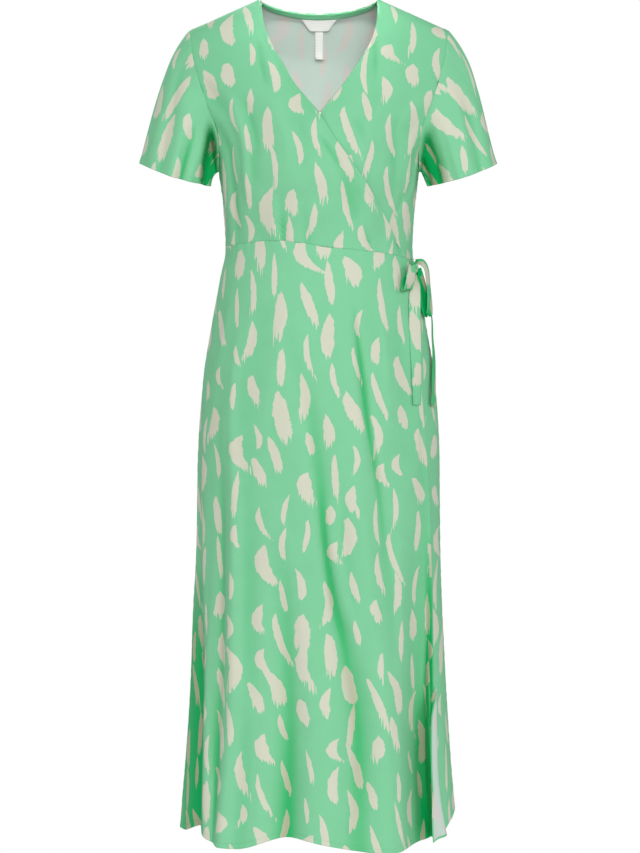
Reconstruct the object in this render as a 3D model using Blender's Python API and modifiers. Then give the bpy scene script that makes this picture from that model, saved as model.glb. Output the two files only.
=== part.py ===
"""A long wrap dress, hollow and filled out, as its wearer's shoulders hold it up.

Metres, +Z up. The front faces -Y and the wearer's left is +X. The origin lies midway between the two
shoulder seams, level with their neck ends, and every height is a drop below it.

Body and skirt are one tube of rings. A place on it is a turn in degrees, from 0 at the centre front to
+90 at the wearer's left side and 180 at the centre back, and a drop. Each panel is a patch of that tube
between its own seams and free edges, thickened to the wall of the cloth. Each sleeve is lofted from its
armhole to its hem, and the ties are ribbons laid along routes on the tube.
"""

import math

import bmesh
import bpy
import numpy as np
from mathutils import Vector

CLOTH = 0.0012  # wall of every panel and tie
TRIM = 0.0010  # wall of the neck binding, the label and its tab
SEAM_GAP = 0.0006  # clear space along each seam, over 0.3 mm because the walls are faceted
WAIST_GAP = 0.0008
SHOULDER_GAP = 0.0010
LYING_GAP = 0.0003  # clear space under a piece that lies on another

NECK_HALF = 0.086  # centre to the neck end of the shoulder seam
SHOULDER_HALF = 0.190  # centre to the sleeve end of the shoulder seam
SHOULDER_FALL = 0.0465  # how far the shoulder seam falls on its way out
BACK_NECK_DROP = 0.0175  # depth of the back neck at its centre
UNDERARM_DROP = 0.250
WAIST_DROP = 0.362
OVER_LIFT = 0.0015  # how far the upper front stands out where the fronts overlap
UNDER_SINK = 0.0027  # how far the lower front lies in there
UNDER_SKIRT_END = -54.0  # turn of the hidden end of the lower front

# drop, half width, depth in front of the side seams, depth behind them
BODY_RINGS = (
    (0.000, 0.2120, 0.000, 0.000),
    (0.020, 0.2120, 0.042, 0.042),
    (0.050, 0.2120, 0.064, 0.062),
    (0.090, 0.2080, 0.085, 0.082),
    (0.127, 0.1960, 0.099, 0.092),
    (0.160, 0.1780, 0.108, 0.096),
    (0.194, 0.1600, 0.114, 0.096),
    (0.225, 0.1495, 0.117, 0.094),
    (0.250, 0.1460, 0.117, 0.092),
    (0.300, 0.1400, 0.108, 0.084),
    (0.362, 0.1360, 0.097, 0.078),
    (0.405, 0.1440, 0.101, 0.090),
    (0.478, 0.1570, 0.110, 0.108),
    (0.551, 0.1690, 0.117, 0.120),
    (0.661, 0.1760, 0.121, 0.124),
    (0.808, 0.1780, 0.121, 0.122),
    (0.954, 0.1840, 0.122, 0.122),
    (1.101, 0.1930, 0.126, 0.126),
    (1.240, 0.2050, 0.132, 0.132),
)

# degrees round the armhole from the shoulder to the underarm, degrees that it bites in from the side
ARMHOLE = (
    (0, 26.3),
    (53, 30.3),
    (74, 33.0),
    (91, 32.7),
    (106, 29.5),
    (124, 23.6),
    (143, 14.1),
    (180, 0.0),
)

# drop, sideways place of the neckline edge of the right front, which lies over
OVER_EDGE = (
    (0.000, -0.0860),
    (0.046, -0.0780),
    (0.070, -0.0680),
    (0.099, -0.0515),
    (0.131, -0.0330),
    (0.152, -0.0149),
    (0.174, 0.0015),
    (0.212, 0.0267),
    (0.254, 0.0566),
    (0.296, 0.0825),
    (0.362, 0.1230),
)

# drop, sideways place of the neckline edge of the left front, which lies under
UNDER_EDGE = (
    (0.000, 0.0860),
    (0.032, 0.0840),
    (0.060, 0.0770),
    (0.087, 0.0630),
    (0.116, 0.0440),
    (0.139, 0.0264),
    (0.158, 0.0110),
    (0.174, -0.0004),
    (0.362, -0.1100),
)

# turn, drop of the waist seam
WAIST_LINE = (
    (-180, 0.366),
    (-90, 0.361),
    (-58, 0.356),
    (-26, 0.352),
    (5, 0.361),
    (40, 0.369),
    (74, 0.377),
    (90, 0.378),
    (180, 0.366),
)

# turn, drop of the hem
HEM_LINE = (
    (-180, 1.212),
    (-90, 1.214),
    (-60, 1.218),
    (-36, 1.224),
    (-15, 1.206),
    (5, 1.215),
    (25, 1.221),
    (45, 1.215),
    (70, 1.206),
    (90, 1.190),
    (130, 1.206),
    (180, 1.212),
)

# drop, turn of the free edge of the upper front skirt
SKIRT_EDGE = (
    (0.362, 64.7),
    (0.385, 72.0),
    (0.480, 69.0),
    (0.522, 63.7),
    (0.585, 60.2),
    (0.667, 61.2),
    (0.757, 64.5),
    (0.905, 64.0),
    (1.023, 61.7),
    (1.110, 56.7),
    (1.220, 52.0),
)

# turn where it starts, turn at the hem, half width in degrees, drop where it starts, depth at the hem
SKIRT_FOLDS = (
    (-66, -70, 7.0, 0.860, -0.020),
    (-55, -57, 8.0, 0.780, 0.008),
    (-30, -36, 10.0, 0.650, 0.008),
    (-13, -15, 9.0, 0.520, -0.021),
    (24, 18, 15.0, 0.600, 0.009),
    (50, 45, 7.0, 0.920, -0.015),
    (72, 70, 9.0, 0.700, 0.004),
    (104, 108, 9.0, 0.600, -0.012),
    (128, 130, 10.0, 0.550, 0.010),
    (150, 149, 9.0, 0.480, -0.017),
    (176, 179, 13.0, 0.620, 0.010),
    (-154, -150, 9.0, 0.520, -0.019),
    (-130, -127, 10.0, 0.640, 0.011),
    (-108, -104, 9.0, 0.700, -0.009),
)

SLEEVE_AXIS_TILT = 17.8  # how far the sleeve leans out from upright, degrees
SLEEVE_HEM_CENTRE = (0.2045, -0.006, -0.2505)
SLEEVE_HEM_HALF = (0.0572, 0.0585)  # across the front, and front to back
SLEEVE_HEM_BOW = 0.005  # how far the hem dips at its front and back
UNDERARM_LEAVE = 0.0006  # extra clearance where the sleeve leaves across the panel's edge

# degrees round at the armhole, degrees round at the hem, half width in degrees, depth at the hem
SLEEVE_FOLDS = (
    (122, 128, 15, 0.008),
    (75, 85, 16, -0.003),
    (238, 232, 18, 0.007),
)

BINDING_DEPTH = 0.0095
TWIST_GAP = 0.0009  # further in, because the back's facets twist as they rise to the shoulder seams
LABEL_TOP = 0.052  # width along its upper edge
LABEL_BOTTOM = 0.027
LABEL_HEIGHT = 0.0185
TAB_WIDTH = 0.011
TAB_LENGTH = 0.0445
TAB_SWING = 0.002  # how far the tab's lower end hangs off the back

TIE_WIDTH = 0.016
KNOT_TURN = 68.6
KNOT_DROP = 0.392
KNOT_OUT = 0.0078
KNOT_HALF = (0.0052, 0.0056, 0.0085)  # out, across and up

# Routes of the ties: how far along, turn past the knot, drop below it, how far out from the tube, lean of
# the width from along the tube to straight out of it in degrees, its tilt upward, share of the full width
TIE_STRAP = (
    (0.0, 20.6, -0.0080, 0.0024, 0, 90, 0.75),
    (0.5, 13.0, -0.0070, 0.0040, 0, 90, 0.70),
    (1.0, 2.75, -0.0030, 0.0066, 0, 90, 0.50),
)
TIE_LOOP_FRONT = (
    (0.00, -2.5, -0.0040, 0.0100, 10, 50, 0.45),
    (0.16, -7.0, -0.0010, 0.0165, 0, 35, 0.75),
    (0.40, -12.4, 0.0180, 0.0160, -5, 15, 1.20),
    (0.53, -14.2, 0.0315, 0.0110, -5, 10, 1.25),
    (0.66, -13.4, 0.0260, 0.0072, -5, 10, 1.15),
    (0.84, -8.4, 0.0120, 0.0070, 0, 25, 0.80),
    (1.00, -3.0, 0.0045, 0.0080, 0, 45, 0.45),
)
TIE_LOOP_SIDE = (
    (0.00, 2.8, -0.0080, 0.0115, 10, 60, 0.45),
    (0.12, 6.0, -0.0060, 0.0160, 10, 50, 0.60),
    (0.26, 8.8, 0.0040, 0.0190, 10, 10, 0.80),
    (0.46, 9.8, 0.0330, 0.0165, 5, 0, 1.00),
    (0.56, 10.2, 0.0590, 0.0125, 15, 0, 1.00),
    (0.62, 10.0, 0.0690, 0.0090, 25, 0, 1.00),
    (0.70, 9.6, 0.0560, 0.0066, 32, 0, 1.00),
    (0.86, 8.0, 0.0260, 0.0085, 30, 0, 0.80),
    (1.00, 3.9, 0.0020, 0.0110, 20, 20, 0.45),
)
TIE_TAIL_FRONT = (
    (0.00, 0.3, 0.0091, 0.0076, 10, 0, 0.50),
    (0.10, -3.2, 0.0260, 0.0080, 30, 0, 0.90),
    (0.25, -7.0, 0.0480, 0.0080, 35, 0, 1.05),
    (0.48, -10.8, 0.0900, 0.0070, 30, 0, 1.05),
    (0.75, -13.6, 0.1450, 0.0050, 15, 0, 0.95),
    (1.00, -15.0, 0.1960, 0.0037, 5, 0, 0.90),
)
TIE_TAIL_SIDE = (
    (0.00, 2.2, 0.0050, 0.0062, 0, 40, 0.50),
    (0.10, 10.0, 0.0140, 0.0045, 0, 15, 0.65),
    (0.22, 19.0, 0.0330, 0.0080, 0, 10, 0.80),
    (0.38, 20.4, 0.0680, 0.0105, 0, 0, 0.95),
    (0.60, 16.4, 0.1130, 0.0055, 0, 0, 1.00),
    (0.78, 9.0, 0.1530, 0.0030, 0, 0, 0.95),
    (1.00, 2.4, 0.1980, 0.0028, 0, 0, 0.90),
)
TIES = (
    ("tie_strap", TIE_STRAP, 5),
    ("tie_loop_front", TIE_LOOP_FRONT, 16),
    ("tie_loop_side", TIE_LOOP_SIDE, 20),
    ("tie_tail_front", TIE_TAIL_FRONT, 10),
    ("tie_tail_side", TIE_TAIL_SIDE, 14),
)

BODICE_COLUMNS = 15
ARMHOLE_ROWS = 12  # rows from the shoulder down to the underarm, also round each half of a sleeve
SIDE_ROWS = 4  # rows from the underarm to the waist
SKIRT_COLUMNS = 30
SKIRT_ROWS = 9
SLEEVE_ROWS = 6

GREEN = (0.235, 0.655, 0.365)
OFF_WHITE = (0.72, 0.73, 0.69)


def remove_everything():
    """Remove the scene's objects, so that only the dress is left."""
    for item in list(bpy.data.objects):
        bpy.data.objects.remove(item)


def ease(value):
    """Go from 0 to 1 with level ends, held beyond them."""
    value = min(1.0, max(0.0, value))
    return value * value * (3 - 2 * value)


def smooth_through(keys, values, at):
    """Pass a curve through rising keys that never swings beyond their values."""
    keys = np.asarray(keys, float)
    values = np.asarray(values, float)
    at = float(min(keys[-1], max(keys[0], at)))
    steps = np.diff(keys)
    slopes = np.diff(values) / steps
    tangents = np.zeros(len(keys))
    tangents[0], tangents[-1] = slopes[0], slopes[-1]
    for k in range(1, len(keys) - 1):
        if slopes[k - 1] * slopes[k] > 0:
            before = 2 * steps[k] + steps[k - 1]
            after = steps[k] + 2 * steps[k - 1]
            tangents[k] = (before + after) / (before / slopes[k - 1] + after / slopes[k])
    k = min(int(np.searchsorted(keys, at, side="right")) - 1, len(steps) - 1)
    t = (at - keys[k]) / steps[k]
    start = (1 + 2 * t) * (1 - t) ** 2 * values[k] + t * (1 - t) ** 2 * steps[k] * tangents[k]
    end = t * t * (3 - 2 * t) * values[k + 1] - t * t * (1 - t) * steps[k] * tangents[k + 1]
    return float(start + end)


def column_at(table, column, at):
    """Read one column of a table at a value of its first column."""
    return smooth_through([row[0] for row in table], [row[column] for row in table], at)


def ring_at(drop):
    """Half width, front depth and back depth of the tube; depths rise as a dome at the shoulders."""
    keys = [row[0] for row in BODY_RINGS]
    half_width = smooth_through(keys, [row[1] for row in BODY_RINGS], drop)
    front = smooth_through(keys, [row[2] ** 2 for row in BODY_RINGS], drop)
    back = smooth_through(keys, [row[3] ** 2 for row in BODY_RINGS], drop)
    return half_width, math.sqrt(max(front, 0.0)), math.sqrt(max(back, 0.0))


def turned(degrees):
    """Bring a turn into -180 to 180 degrees."""
    return (degrees + 180) % 360 - 180


def fold_depth(turn, drop):
    """Sum of the skirt's soft folds, out of the tube where positive."""
    depth = 0.0
    for start_turn, hem_turn, half_width, start, hem_depth in SKIRT_FOLDS:
        grown = (drop - start) / (BODY_RINGS[-1][0] - start)
        if grown > 0:
            centre = start_turn + (hem_turn - start_turn) * grown
            off = turned(turn - centre) / half_width
            depth += hem_depth * ease(grown) * math.exp(-off * off)
    return depth


def tube_place(turn, drop):
    """Place on the tube, folds left out."""
    half_width, front, back = ring_at(drop)
    side, face = math.sin(math.radians(turn)), math.cos(math.radians(turn))
    x = half_width * side
    y = -(front + SHOULDER_GAP) * face if face > 0 else -(back + SHOULDER_GAP) * face
    past_neck = max(0.0, (abs(x) - NECK_HALF) / (SHOULDER_HALF - NECK_HALF))
    fade = max(0.0, 1 - drop / UNDERARM_DROP)
    return Vector((x, y, -drop - SHOULDER_FALL * past_neck * fade))


def tube_normal(turn, drop):
    """Direction straight out of the tube."""
    drop = max(drop, 0.001)
    across = tube_place(turn + 0.5, drop) - tube_place(turn - 0.5, drop)
    down = tube_place(turn, drop + 0.0005) - tube_place(turn, drop - 0.0005)
    return down.cross(across).normalized()


def body_point(turn, drop, out=0.0):
    """Place on the folded tube, moved out along its normal."""
    return tube_place(turn, drop) + tube_normal(turn, drop) * (fold_depth(turn, drop) + out)


def over_lift(turn, drop):
    """How far the upper front stands off the tube: nothing at its own seams."""
    return OVER_LIFT * ease((turn + 50) / 40) * ease((drop - 0.10) / 0.05)


def under_sink(turn, drop):
    """How far the lower front lies inside the tube: nothing at its own seams."""
    below_arm = ease((drop - 0.235) / 0.065)
    seam_side = 50 + 40 * below_arm
    flat_side = 10 + 60 * below_arm
    return -UNDER_SINK * ease((seam_side - turn) / (seam_side - flat_side)) * ease((drop - 0.10) / 0.05)


def armhole_turn(drop):
    """Turn of the armhole's edge at a drop, or of the side seam below it."""
    if drop >= UNDERARM_DROP:
        return 90.0
    round_from_top = math.degrees(math.acos(1 - 2 * drop / UNDERARM_DROP))
    return 90.0 - column_at(ARMHOLE, 1, round_from_top)


def bodice_drops():
    """Drops of the bodice's rows, waist first, closest at the shoulder and the underarm."""
    steps = np.linspace(0, math.pi, ARMHOLE_ROWS + 1)
    armhole = [UNDERARM_DROP * (1 - math.cos(step)) / 2 for step in steps]
    side = [UNDERARM_DROP + (WAIST_DROP - UNDERARM_DROP) * (k + 1) / SIDE_ROWS for k in range(SIDE_ROWS)]
    return (armhole + side)[::-1]


def settle_to_waist(turn, drop):
    """Stretch the rows below the underarm so that the last one lies on the waist seam."""
    share = max(0.0, (drop - UNDERARM_DROP) / (WAIST_DROP - UNDERARM_DROP))
    return drop + share**2 * (column_at(WAIST_LINE, 1, turned(turn)) - WAIST_GAP / 2 - WAIST_DROP)


def edge_turn(table, drop):
    """Turn of a neckline edge that is stated by its sideways place."""
    return math.degrees(math.asin(column_at(table, 1, drop) / ring_at(drop)[0]))


def seam_inset(drop):
    """Half a seam's gap as a turn."""
    return math.degrees(SEAM_GAP / 2 / ring_at(drop)[0])


def finish(name, colour, roughness):
    """Cloth finish with a colour, a roughness and no metal."""
    material = bpy.data.materials.new(name)
    material.use_nodes = True
    shader = material.node_tree.nodes["Principled BSDF"]
    shader.inputs["Base Color"].default_value = (*colour, 1.0)
    shader.inputs["Roughness"].default_value = roughness
    shader.inputs["Metallic"].default_value = 0.0
    return material


def wall_from(name, bm, wall, colour, collection):
    """Turn an open surface into a wall of cloth with its own finish."""
    mesh = bpy.data.meshes.new(name)
    bm.to_mesh(mesh)
    bm.free()
    mesh.shade_smooth()
    mesh.materials.append(finish(name + "_cloth", colour, 0.8))
    panel = bpy.data.objects.new(name, mesh)
    collection.objects.link(panel)
    solidify = panel.modifiers.new("wall", "SOLIDIFY")
    solidify.thickness = wall
    solidify.offset = 0.0
    solidify.use_even_offset = True
    return panel


def patch(name, columns, rows, place, collection, wall=CLOTH, colour=GREEN, closed=False):
    """Shape a plain grid by place(column, row), counted from the first corner, and thicken it."""
    bm = bmesh.new()
    bmesh.ops.create_grid(bm, x_segments=columns, y_segments=rows, size=0.5)
    for vertex in bm.verts:
        vertex.co = place(round((vertex.co.x + 0.5) * columns), round((vertex.co.y + 0.5) * rows))
    if closed:
        bmesh.ops.remove_doubles(bm, verts=bm.verts, dist=0.00001)
    return wall_from(name, bm, wall, colour, collection)


def front_bodice(name, side, edge, lift, collection):
    """One front: side seam and armhole on one side, neckline edge on the other."""
    drops = bodice_drops()

    def place(column, row):
        drop = drops[row]
        outer = side * (armhole_turn(drop) - seam_inset(drop))
        inner = edge_turn(edge, drop)
        left, right = (inner, outer) if side > 0 else (outer, inner)
        turn = left + (right - left) * column / BODICE_COLUMNS
        drop = settle_to_waist(turn, drop)
        return body_point(turn, drop, lift(turn, drop))

    return patch(name, BODICE_COLUMNS, len(drops) - 1, place, collection)


def back_place(column, row):
    """Corner of the back's grid: armholes at both sides, and a scooped neck between the shoulders."""
    shoulder_columns = BODICE_COLUMNS // 3
    neck_half_columns = BODICE_COLUMNS / 2 - shoulder_columns
    drop = bodice_drops()[row]
    half_width = ring_at(drop)[0]
    neck_turn = math.degrees(math.asin(NECK_HALF / half_width))
    outer_turn = armhole_turn(drop) - seam_inset(drop)
    across = column - BODICE_COLUMNS / 2
    past_neck = max(0.0, abs(across) - neck_half_columns) / shoulder_columns
    from_centre = neck_turn * min(1.0, abs(across) / neck_half_columns)
    from_centre += (outer_turn - neck_turn) * past_neck
    x = half_width * math.sin(math.radians(from_centre))
    neck_scoop = BACK_NECK_DROP * max(0.0, 1 - (x / NECK_HALF) ** 2) ** 0.75
    drop += neck_scoop * (1 - drop / WAIST_DROP) ** 2
    turn = 180 + math.copysign(from_centre, across)
    return body_point(turn, settle_to_waist(turn, drop))


def inside_back(column, length, inward):
    """Place inside the back, a length down the cloth from its neck edge; columns may be fractions."""

    def down_column(whole_column, left):
        row = ARMHOLE_ROWS + SIDE_ROWS
        here, below = back_place(whole_column, row), back_place(whole_column, row - 1)
        while (below - here).length < left:
            left -= (below - here).length
            row -= 1
            here, below = below, back_place(whole_column, row - 1)
        return here.lerp(below, left / (below - here).length)

    first = math.floor(column)
    start, end = down_column(first, length), down_column(first + 1, length)
    lower = down_column(first, length + 0.001)
    outward = (lower - start).cross(end - start).normalized()
    return start.lerp(end, column - first) - outward * inward


def skirt_panel(name, first_turn, last_turn, lift, columns, collection):
    """One skirt panel, from its left edge to its right edge as turns at each drop."""

    def place(column, row):
        share = 1 - row / SKIRT_ROWS
        drop = WAIST_DROP + (HEM_LINE[0][1] - WAIST_DROP) * share
        start, end = first_turn(drop), last_turn(drop)
        turn = start + (end - start) * column / columns
        waist = column_at(WAIST_LINE, 1, turned(turn)) + WAIST_GAP / 2
        drop = waist + (column_at(HEM_LINE, 1, turned(turn)) - waist) * share
        return body_point(turn, drop, lift(turn, drop))

    return patch(name, columns, SKIRT_ROWS, place, collection)


def build_skirt(collection):
    """Three panels: the back, and the two fronts that wrap over each other."""

    def skirt_sink(turn, drop):
        return under_sink(turn, max(drop, WAIST_DROP))

    skirt_panel(
        "skirt_front_over",
        lambda drop: -90 + seam_inset(drop),
        lambda drop: column_at(SKIRT_EDGE, 1, drop),
        over_lift,
        SKIRT_COLUMNS,
        collection,
    )
    skirt_panel(
        "skirt_front_under",
        lambda drop: UNDER_SKIRT_END,
        lambda drop: 90 - seam_inset(drop),
        skirt_sink,
        SKIRT_COLUMNS - 2,
        collection,
    )
    skirt_panel(
        "skirt_back",
        lambda drop: 90 + seam_inset(drop),
        lambda drop: 270 - seam_inset(drop),
        lambda turn, drop: 0.0,
        SKIRT_COLUMNS,
        collection,
    )


def armhole_ring(side):
    """Places and outward normals round one armhole: shoulder, front, underarm, back."""
    places, normals = [], []
    for k in range(2 * ARMHOLE_ROWS):
        drop = UNDERARM_DROP * (1 - math.cos(math.pi * k / ARMHOLE_ROWS)) / 2
        turn = side * armhole_turn(drop)
        if k > ARMHOLE_ROWS:
            turn = 180 - turn
        place = tube_place(turn, drop)
        normal = tube_normal(turn, drop)
        if k == 0:
            place.y = 0.0
            normal = Vector((normal.x, 0, normal.z)).normalized()
        places.append(place)
        normals.append(normal)
    return places, normals


def sleeve(name, side, collection):
    """A short flared tube from the armhole to its own hem."""
    places, normals = armhole_ring(side)
    count = len(places)
    tilt = math.radians(SLEEVE_AXIS_TILT)
    outward = Vector((side * math.cos(tilt), 0, math.sin(tilt)))
    down = Vector((side * math.sin(tilt), 0, -math.cos(tilt)))
    centre = Vector((side * SLEEVE_HEM_CENTRE[0], *SLEEVE_HEM_CENTRE[1:]))

    def meridian(k, share):
        angle = 2 * math.pi * k / count
        edge = places[(k + 1) % count] - places[k - 1]
        away = (side * normals[k].cross(edge)).normalized()
        under = (1 - math.cos(angle)) / 2
        leave = (away + down + normals[k] * under).normalized()
        start = places[k] + away * (SEAM_GAP + UNDERARM_LEAVE * under)
        front = Vector((0, -math.sin(angle), 0))
        end = centre + outward * (SLEEVE_HEM_HALF[0] * math.cos(angle)) + front * SLEEVE_HEM_HALF[1]
        end += down * (SLEEVE_HEM_BOW * math.sin(angle) ** 2)
        length = (end - start).length
        s = share
        point = start * ((1 + 2 * s) * (1 - s) ** 2) + end * (s * s * (3 - 2 * s))
        point += leave * (0.9 * length * s * (1 - s) ** 2) - down * (length * s * s * (1 - s))
        inward = (centre - end).normalized()
        for start_round, hem_round, half_width, depth in SLEEVE_FOLDS:
            fold_centre = start_round + (hem_round - start_round) * share
            off = turned(math.degrees(angle) - fold_centre) / half_width
            point += inward * (depth * ease(share) * math.exp(-off * off))
        return point

    def place(column, row):
        k = column % count if side > 0 else -column % count
        return meridian(k, row / SLEEVE_ROWS)

    return patch(name, count, SLEEVE_ROWS, place, collection, closed=True)


def build_neck_pieces(collection):
    """The binding inside the back neck, the label under it and the tab that hangs from the label."""
    inward = CLOTH / 2 + LYING_GAP + TRIM / 2
    binding_inward = inward + TWIST_GAP
    middle = BODICE_COLUMNS / 2
    neck_half_columns = middle - BODICE_COLUMNS // 3
    columns_per_metre = neck_half_columns / NECK_HALF
    label_top = BINDING_DEPTH + 4 * LYING_GAP
    tab_top = label_top + LABEL_HEIGHT + LYING_GAP

    def binding_place(column, row):
        across = neck_half_columns * (column / 8 - 1) * 0.98
        return inside_back(middle + across, LYING_GAP + BINDING_DEPTH * (1 - row / 2), binding_inward)

    def label_place(column, row):
        width = LABEL_BOTTOM + (LABEL_TOP - LABEL_BOTTOM) * row / 3
        across = width * (column / 4 - 0.5) * columns_per_metre
        return inside_back(middle + across, label_top + LABEL_HEIGHT * (1 - row / 3), inward)

    def tab_place(column, row):
        share = 1 - row / 4
        across = TAB_WIDTH * (column - 0.5) * columns_per_metre
        return inside_back(middle + across, tab_top + TAB_LENGTH * share, inward + TAB_SWING * share)

    patch("neck_binding", 16, 2, binding_place, collection, TRIM)
    patch("neck_label", 4, 3, label_place, collection, TRIM, OFF_WHITE)
    patch("label_tab", 1, 4, tab_place, collection, TRIM, OFF_WHITE)


def ribbon(name, route, rows, collection):
    """A flat tie of cloth laid along its route, which is stated from the knot."""

    def stand_at(share):
        turn, drop, out = (column_at(route, k, min(1.0, max(0.0, share))) for k in (1, 2, 3))
        return KNOT_TURN + turn, KNOT_DROP + drop, out

    def place(column, row):
        share = row / rows
        turn, drop, out = stand_at(share)
        lean, tilt, width = (column_at(route, k, share) for k in (4, 5, 6))
        heading = body_point(*stand_at(share + 0.01)) - body_point(*stand_at(share - 0.01))
        heading.normalize()
        normal = tube_normal(turn, drop)
        along = Vector((0, 0, 1)).cross(normal).normalized()
        lean, tilt = math.radians(lean), math.radians(tilt)
        level = along * math.cos(lean) + normal * math.sin(lean)
        across = level * math.cos(tilt) + Vector((0, 0, 1)) * math.sin(tilt)
        across = (across - heading * across.dot(heading)).normalized()
        return body_point(turn, drop, out) + across * (TIE_WIDTH * width * (column - 0.5))

    patch(name, 1, rows, place, collection)


def build_bow(collection):
    """The knot at the left side of the waist, its strap, two loops and two free ends."""
    bm = bmesh.new()
    bmesh.ops.create_uvsphere(bm, u_segments=12, v_segments=8, radius=1)
    for vertex in bm.verts:
        vertex.co = Vector(c * half for c, half in zip(vertex.co, KNOT_HALF))
    mesh = bpy.data.meshes.new("tie_knot")
    bm.to_mesh(mesh)
    bm.free()
    mesh.shade_smooth()
    mesh.materials.append(finish("tie_knot_cloth", GREEN, 0.8))
    knot = bpy.data.objects.new("tie_knot", mesh)
    knot.location = body_point(KNOT_TURN, KNOT_DROP, KNOT_OUT)
    knot.rotation_euler = (0, 0, math.radians(KNOT_TURN - 90))
    collection.objects.link(knot)
    for name, route, rows in TIES:
        ribbon(name, route, rows, collection)


def main():
    """Build the whole dress in its own collection."""
    remove_everything()
    collection = bpy.data.collections.new("wrap_dress")
    bpy.context.scene.collection.children.link(collection)
    front_bodice("bodice_front_over", -1, OVER_EDGE, over_lift, collection)
    front_bodice("bodice_front_under", 1, UNDER_EDGE, under_sink, collection)
    patch("bodice_back", BODICE_COLUMNS, ARMHOLE_ROWS + SIDE_ROWS, back_place, collection)
    sleeve("sleeve_right", -1, collection)
    sleeve("sleeve_left", 1, collection)
    build_skirt(collection)
    build_neck_pieces(collection)
    build_bow(collection)


main()
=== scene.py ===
"""Looks of a long wrap dress in printed viscose crepe, held up at its shoulders and hung out in full.

Metres, +Z up. The front faces -Y and the wearer's left is +X. Body and skirt are one tube of rings: a
place on it is a turn in degrees, 0 at the centre front, +90 at the wearer's left side and 180 at the
centre back, and a drop below the neck ends of the shoulder seams. Each panel is a fine sheet on that
tube, with its own seam allowances, turned edges and hems, and its print runs along its own grain.
"""

import logging
import math
from dataclasses import dataclass, field
from enum import Enum
from typing import Any, Callable, Sequence

import bpy
import numpy as np
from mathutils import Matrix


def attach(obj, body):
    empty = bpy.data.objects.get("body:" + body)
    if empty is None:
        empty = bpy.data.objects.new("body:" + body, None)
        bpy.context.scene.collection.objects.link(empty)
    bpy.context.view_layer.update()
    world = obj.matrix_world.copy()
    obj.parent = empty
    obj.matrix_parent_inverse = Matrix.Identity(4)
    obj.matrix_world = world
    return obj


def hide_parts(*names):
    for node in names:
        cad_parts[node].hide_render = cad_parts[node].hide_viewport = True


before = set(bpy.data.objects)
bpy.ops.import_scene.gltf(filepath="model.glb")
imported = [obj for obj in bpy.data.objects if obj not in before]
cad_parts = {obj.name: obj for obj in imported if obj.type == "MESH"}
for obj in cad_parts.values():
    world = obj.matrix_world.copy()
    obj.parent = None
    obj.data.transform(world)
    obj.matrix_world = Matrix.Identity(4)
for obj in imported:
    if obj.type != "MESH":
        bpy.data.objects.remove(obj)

Array = np.ndarray
LOG = logging.getLogger("wrap_dress")
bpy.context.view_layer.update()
BODY = "root"
CLOTH_UV = "cloth_metres"
PAINTED_SHADE = "painted_shade"  # attribute of each place: share of painted shade, which darkens its colour where folds shut it in
SIDES = ("left", "right", "top", "bottom")

CLOTH = 0.0009  # single cloth, drawn a little thicker than crepe so that its edges show
DOUBLED = 0.0015  # where a hem or an edge is turned
SEAM_DIP = 0.0006  # how far cloth is pulled in along a seam
SEAM_REACH = 0.0016  # how far to each side of the seam
PUCKER_HEIGHT, PUCKER_LENGTH, PUCKER_REACH = 0.00035, 0.013, 0.008  # small puckers that the stitches leave
STITCH_GROOVE, STITCH_GROOVE_HALF = 0.00025, 0.0012  # depth and half width along a row of stitching
STITCH_BACK = 0.001  # how far the row lies from the edge of the doubled cloth
EDGE_PLACES = (0.0, 0.0007, 0.0015, 0.0026)  # how far from an edge the places crowd, so that it is crisp
ALLOWANCE = (0.0012, 0.0040, 0.0070)  # depths of the seam allowance inside the dress
ALLOWANCE_STEP = 0.0005  # half the space that two allowances take between them
CRINKLE, SKIRT_CRINKLE = 0.0013, 0.0017  # height of the soft creases above the waist and below it
CRINKLE_SIZE, SKIRT_CRINKLE_SIZE = 0.10, 0.11  # and their usual length
NECK_HALF = 0.086  # from the centre to the neck end of a shoulder seam
SHOULDER_HALF = 0.190  # from the centre to its outer end
SHOULDER_FALL = 0.0465  # how far the outer end lies below the neck end
BACK_NECK_DROP = 0.0175  # how far the back neck dips between its ends
UNDERARM_DROP = 0.250
WAIST_DROP = 0.362
HEM_DROP = 1.212  # at the centre back
WAVE_LEAN = 0.35  # usual lean of a wave of hung cloth from straight across, radians
WAVE_LENGTHS = (0.7, 1.6)  # its shortest and longest, as shares of the usual one
DEGREE_ACROSS = 0.0027  # metres of a degree of turn on the body, near enough for placing creases


def linear(hex_colour: str) -> tuple[float, float, float, float]:
    """Turn an sRGB hex colour into linear values.

    Args:
        hex_colour: six hex digits after a hash.

    Returns:
        Linear red, green and blue, and an alpha of one.
    """
    parts = [int(hex_colour[k : k + 2], 16) / 255 for k in (1, 3, 5)]
    red, green, blue = (p / 12.92 if p <= 0.04045 else ((p + 0.055) / 1.055) ** 2.4 for p in parts)
    return red, green, blue, 1.0


def ease(value: Array | float) -> Array:
    """Go from 0 to 1 with level ends, held beyond them."""
    held = np.clip(value, 0.0, 1.0)
    return held * held * (3 - 2 * held)


def wrapped(degrees: Array) -> Array:
    """Bring turns into -180 to 180 degrees."""
    return (degrees + 180) % 360 - 180


def unit(vectors: Array) -> Array:
    """Give vectors a length of one."""
    return vectors / np.maximum(np.linalg.norm(vectors, axis=-1, keepdims=True), 1e-12)


def walked(points: Array, axis: int) -> Array:
    """Length walked along a grid of points.

    Args:
        points: places, with x, y and z last.
        axis: the direction to walk in.

    Returns:
        The length from the first place to each.
    """
    steps = np.linalg.norm(np.diff(points, axis=axis), axis=-1)
    pad = [(0, 0)] * steps.ndim
    pad[axis] = (1, 0)
    return np.cumsum(np.pad(steps, pad), axis=axis)


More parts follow.
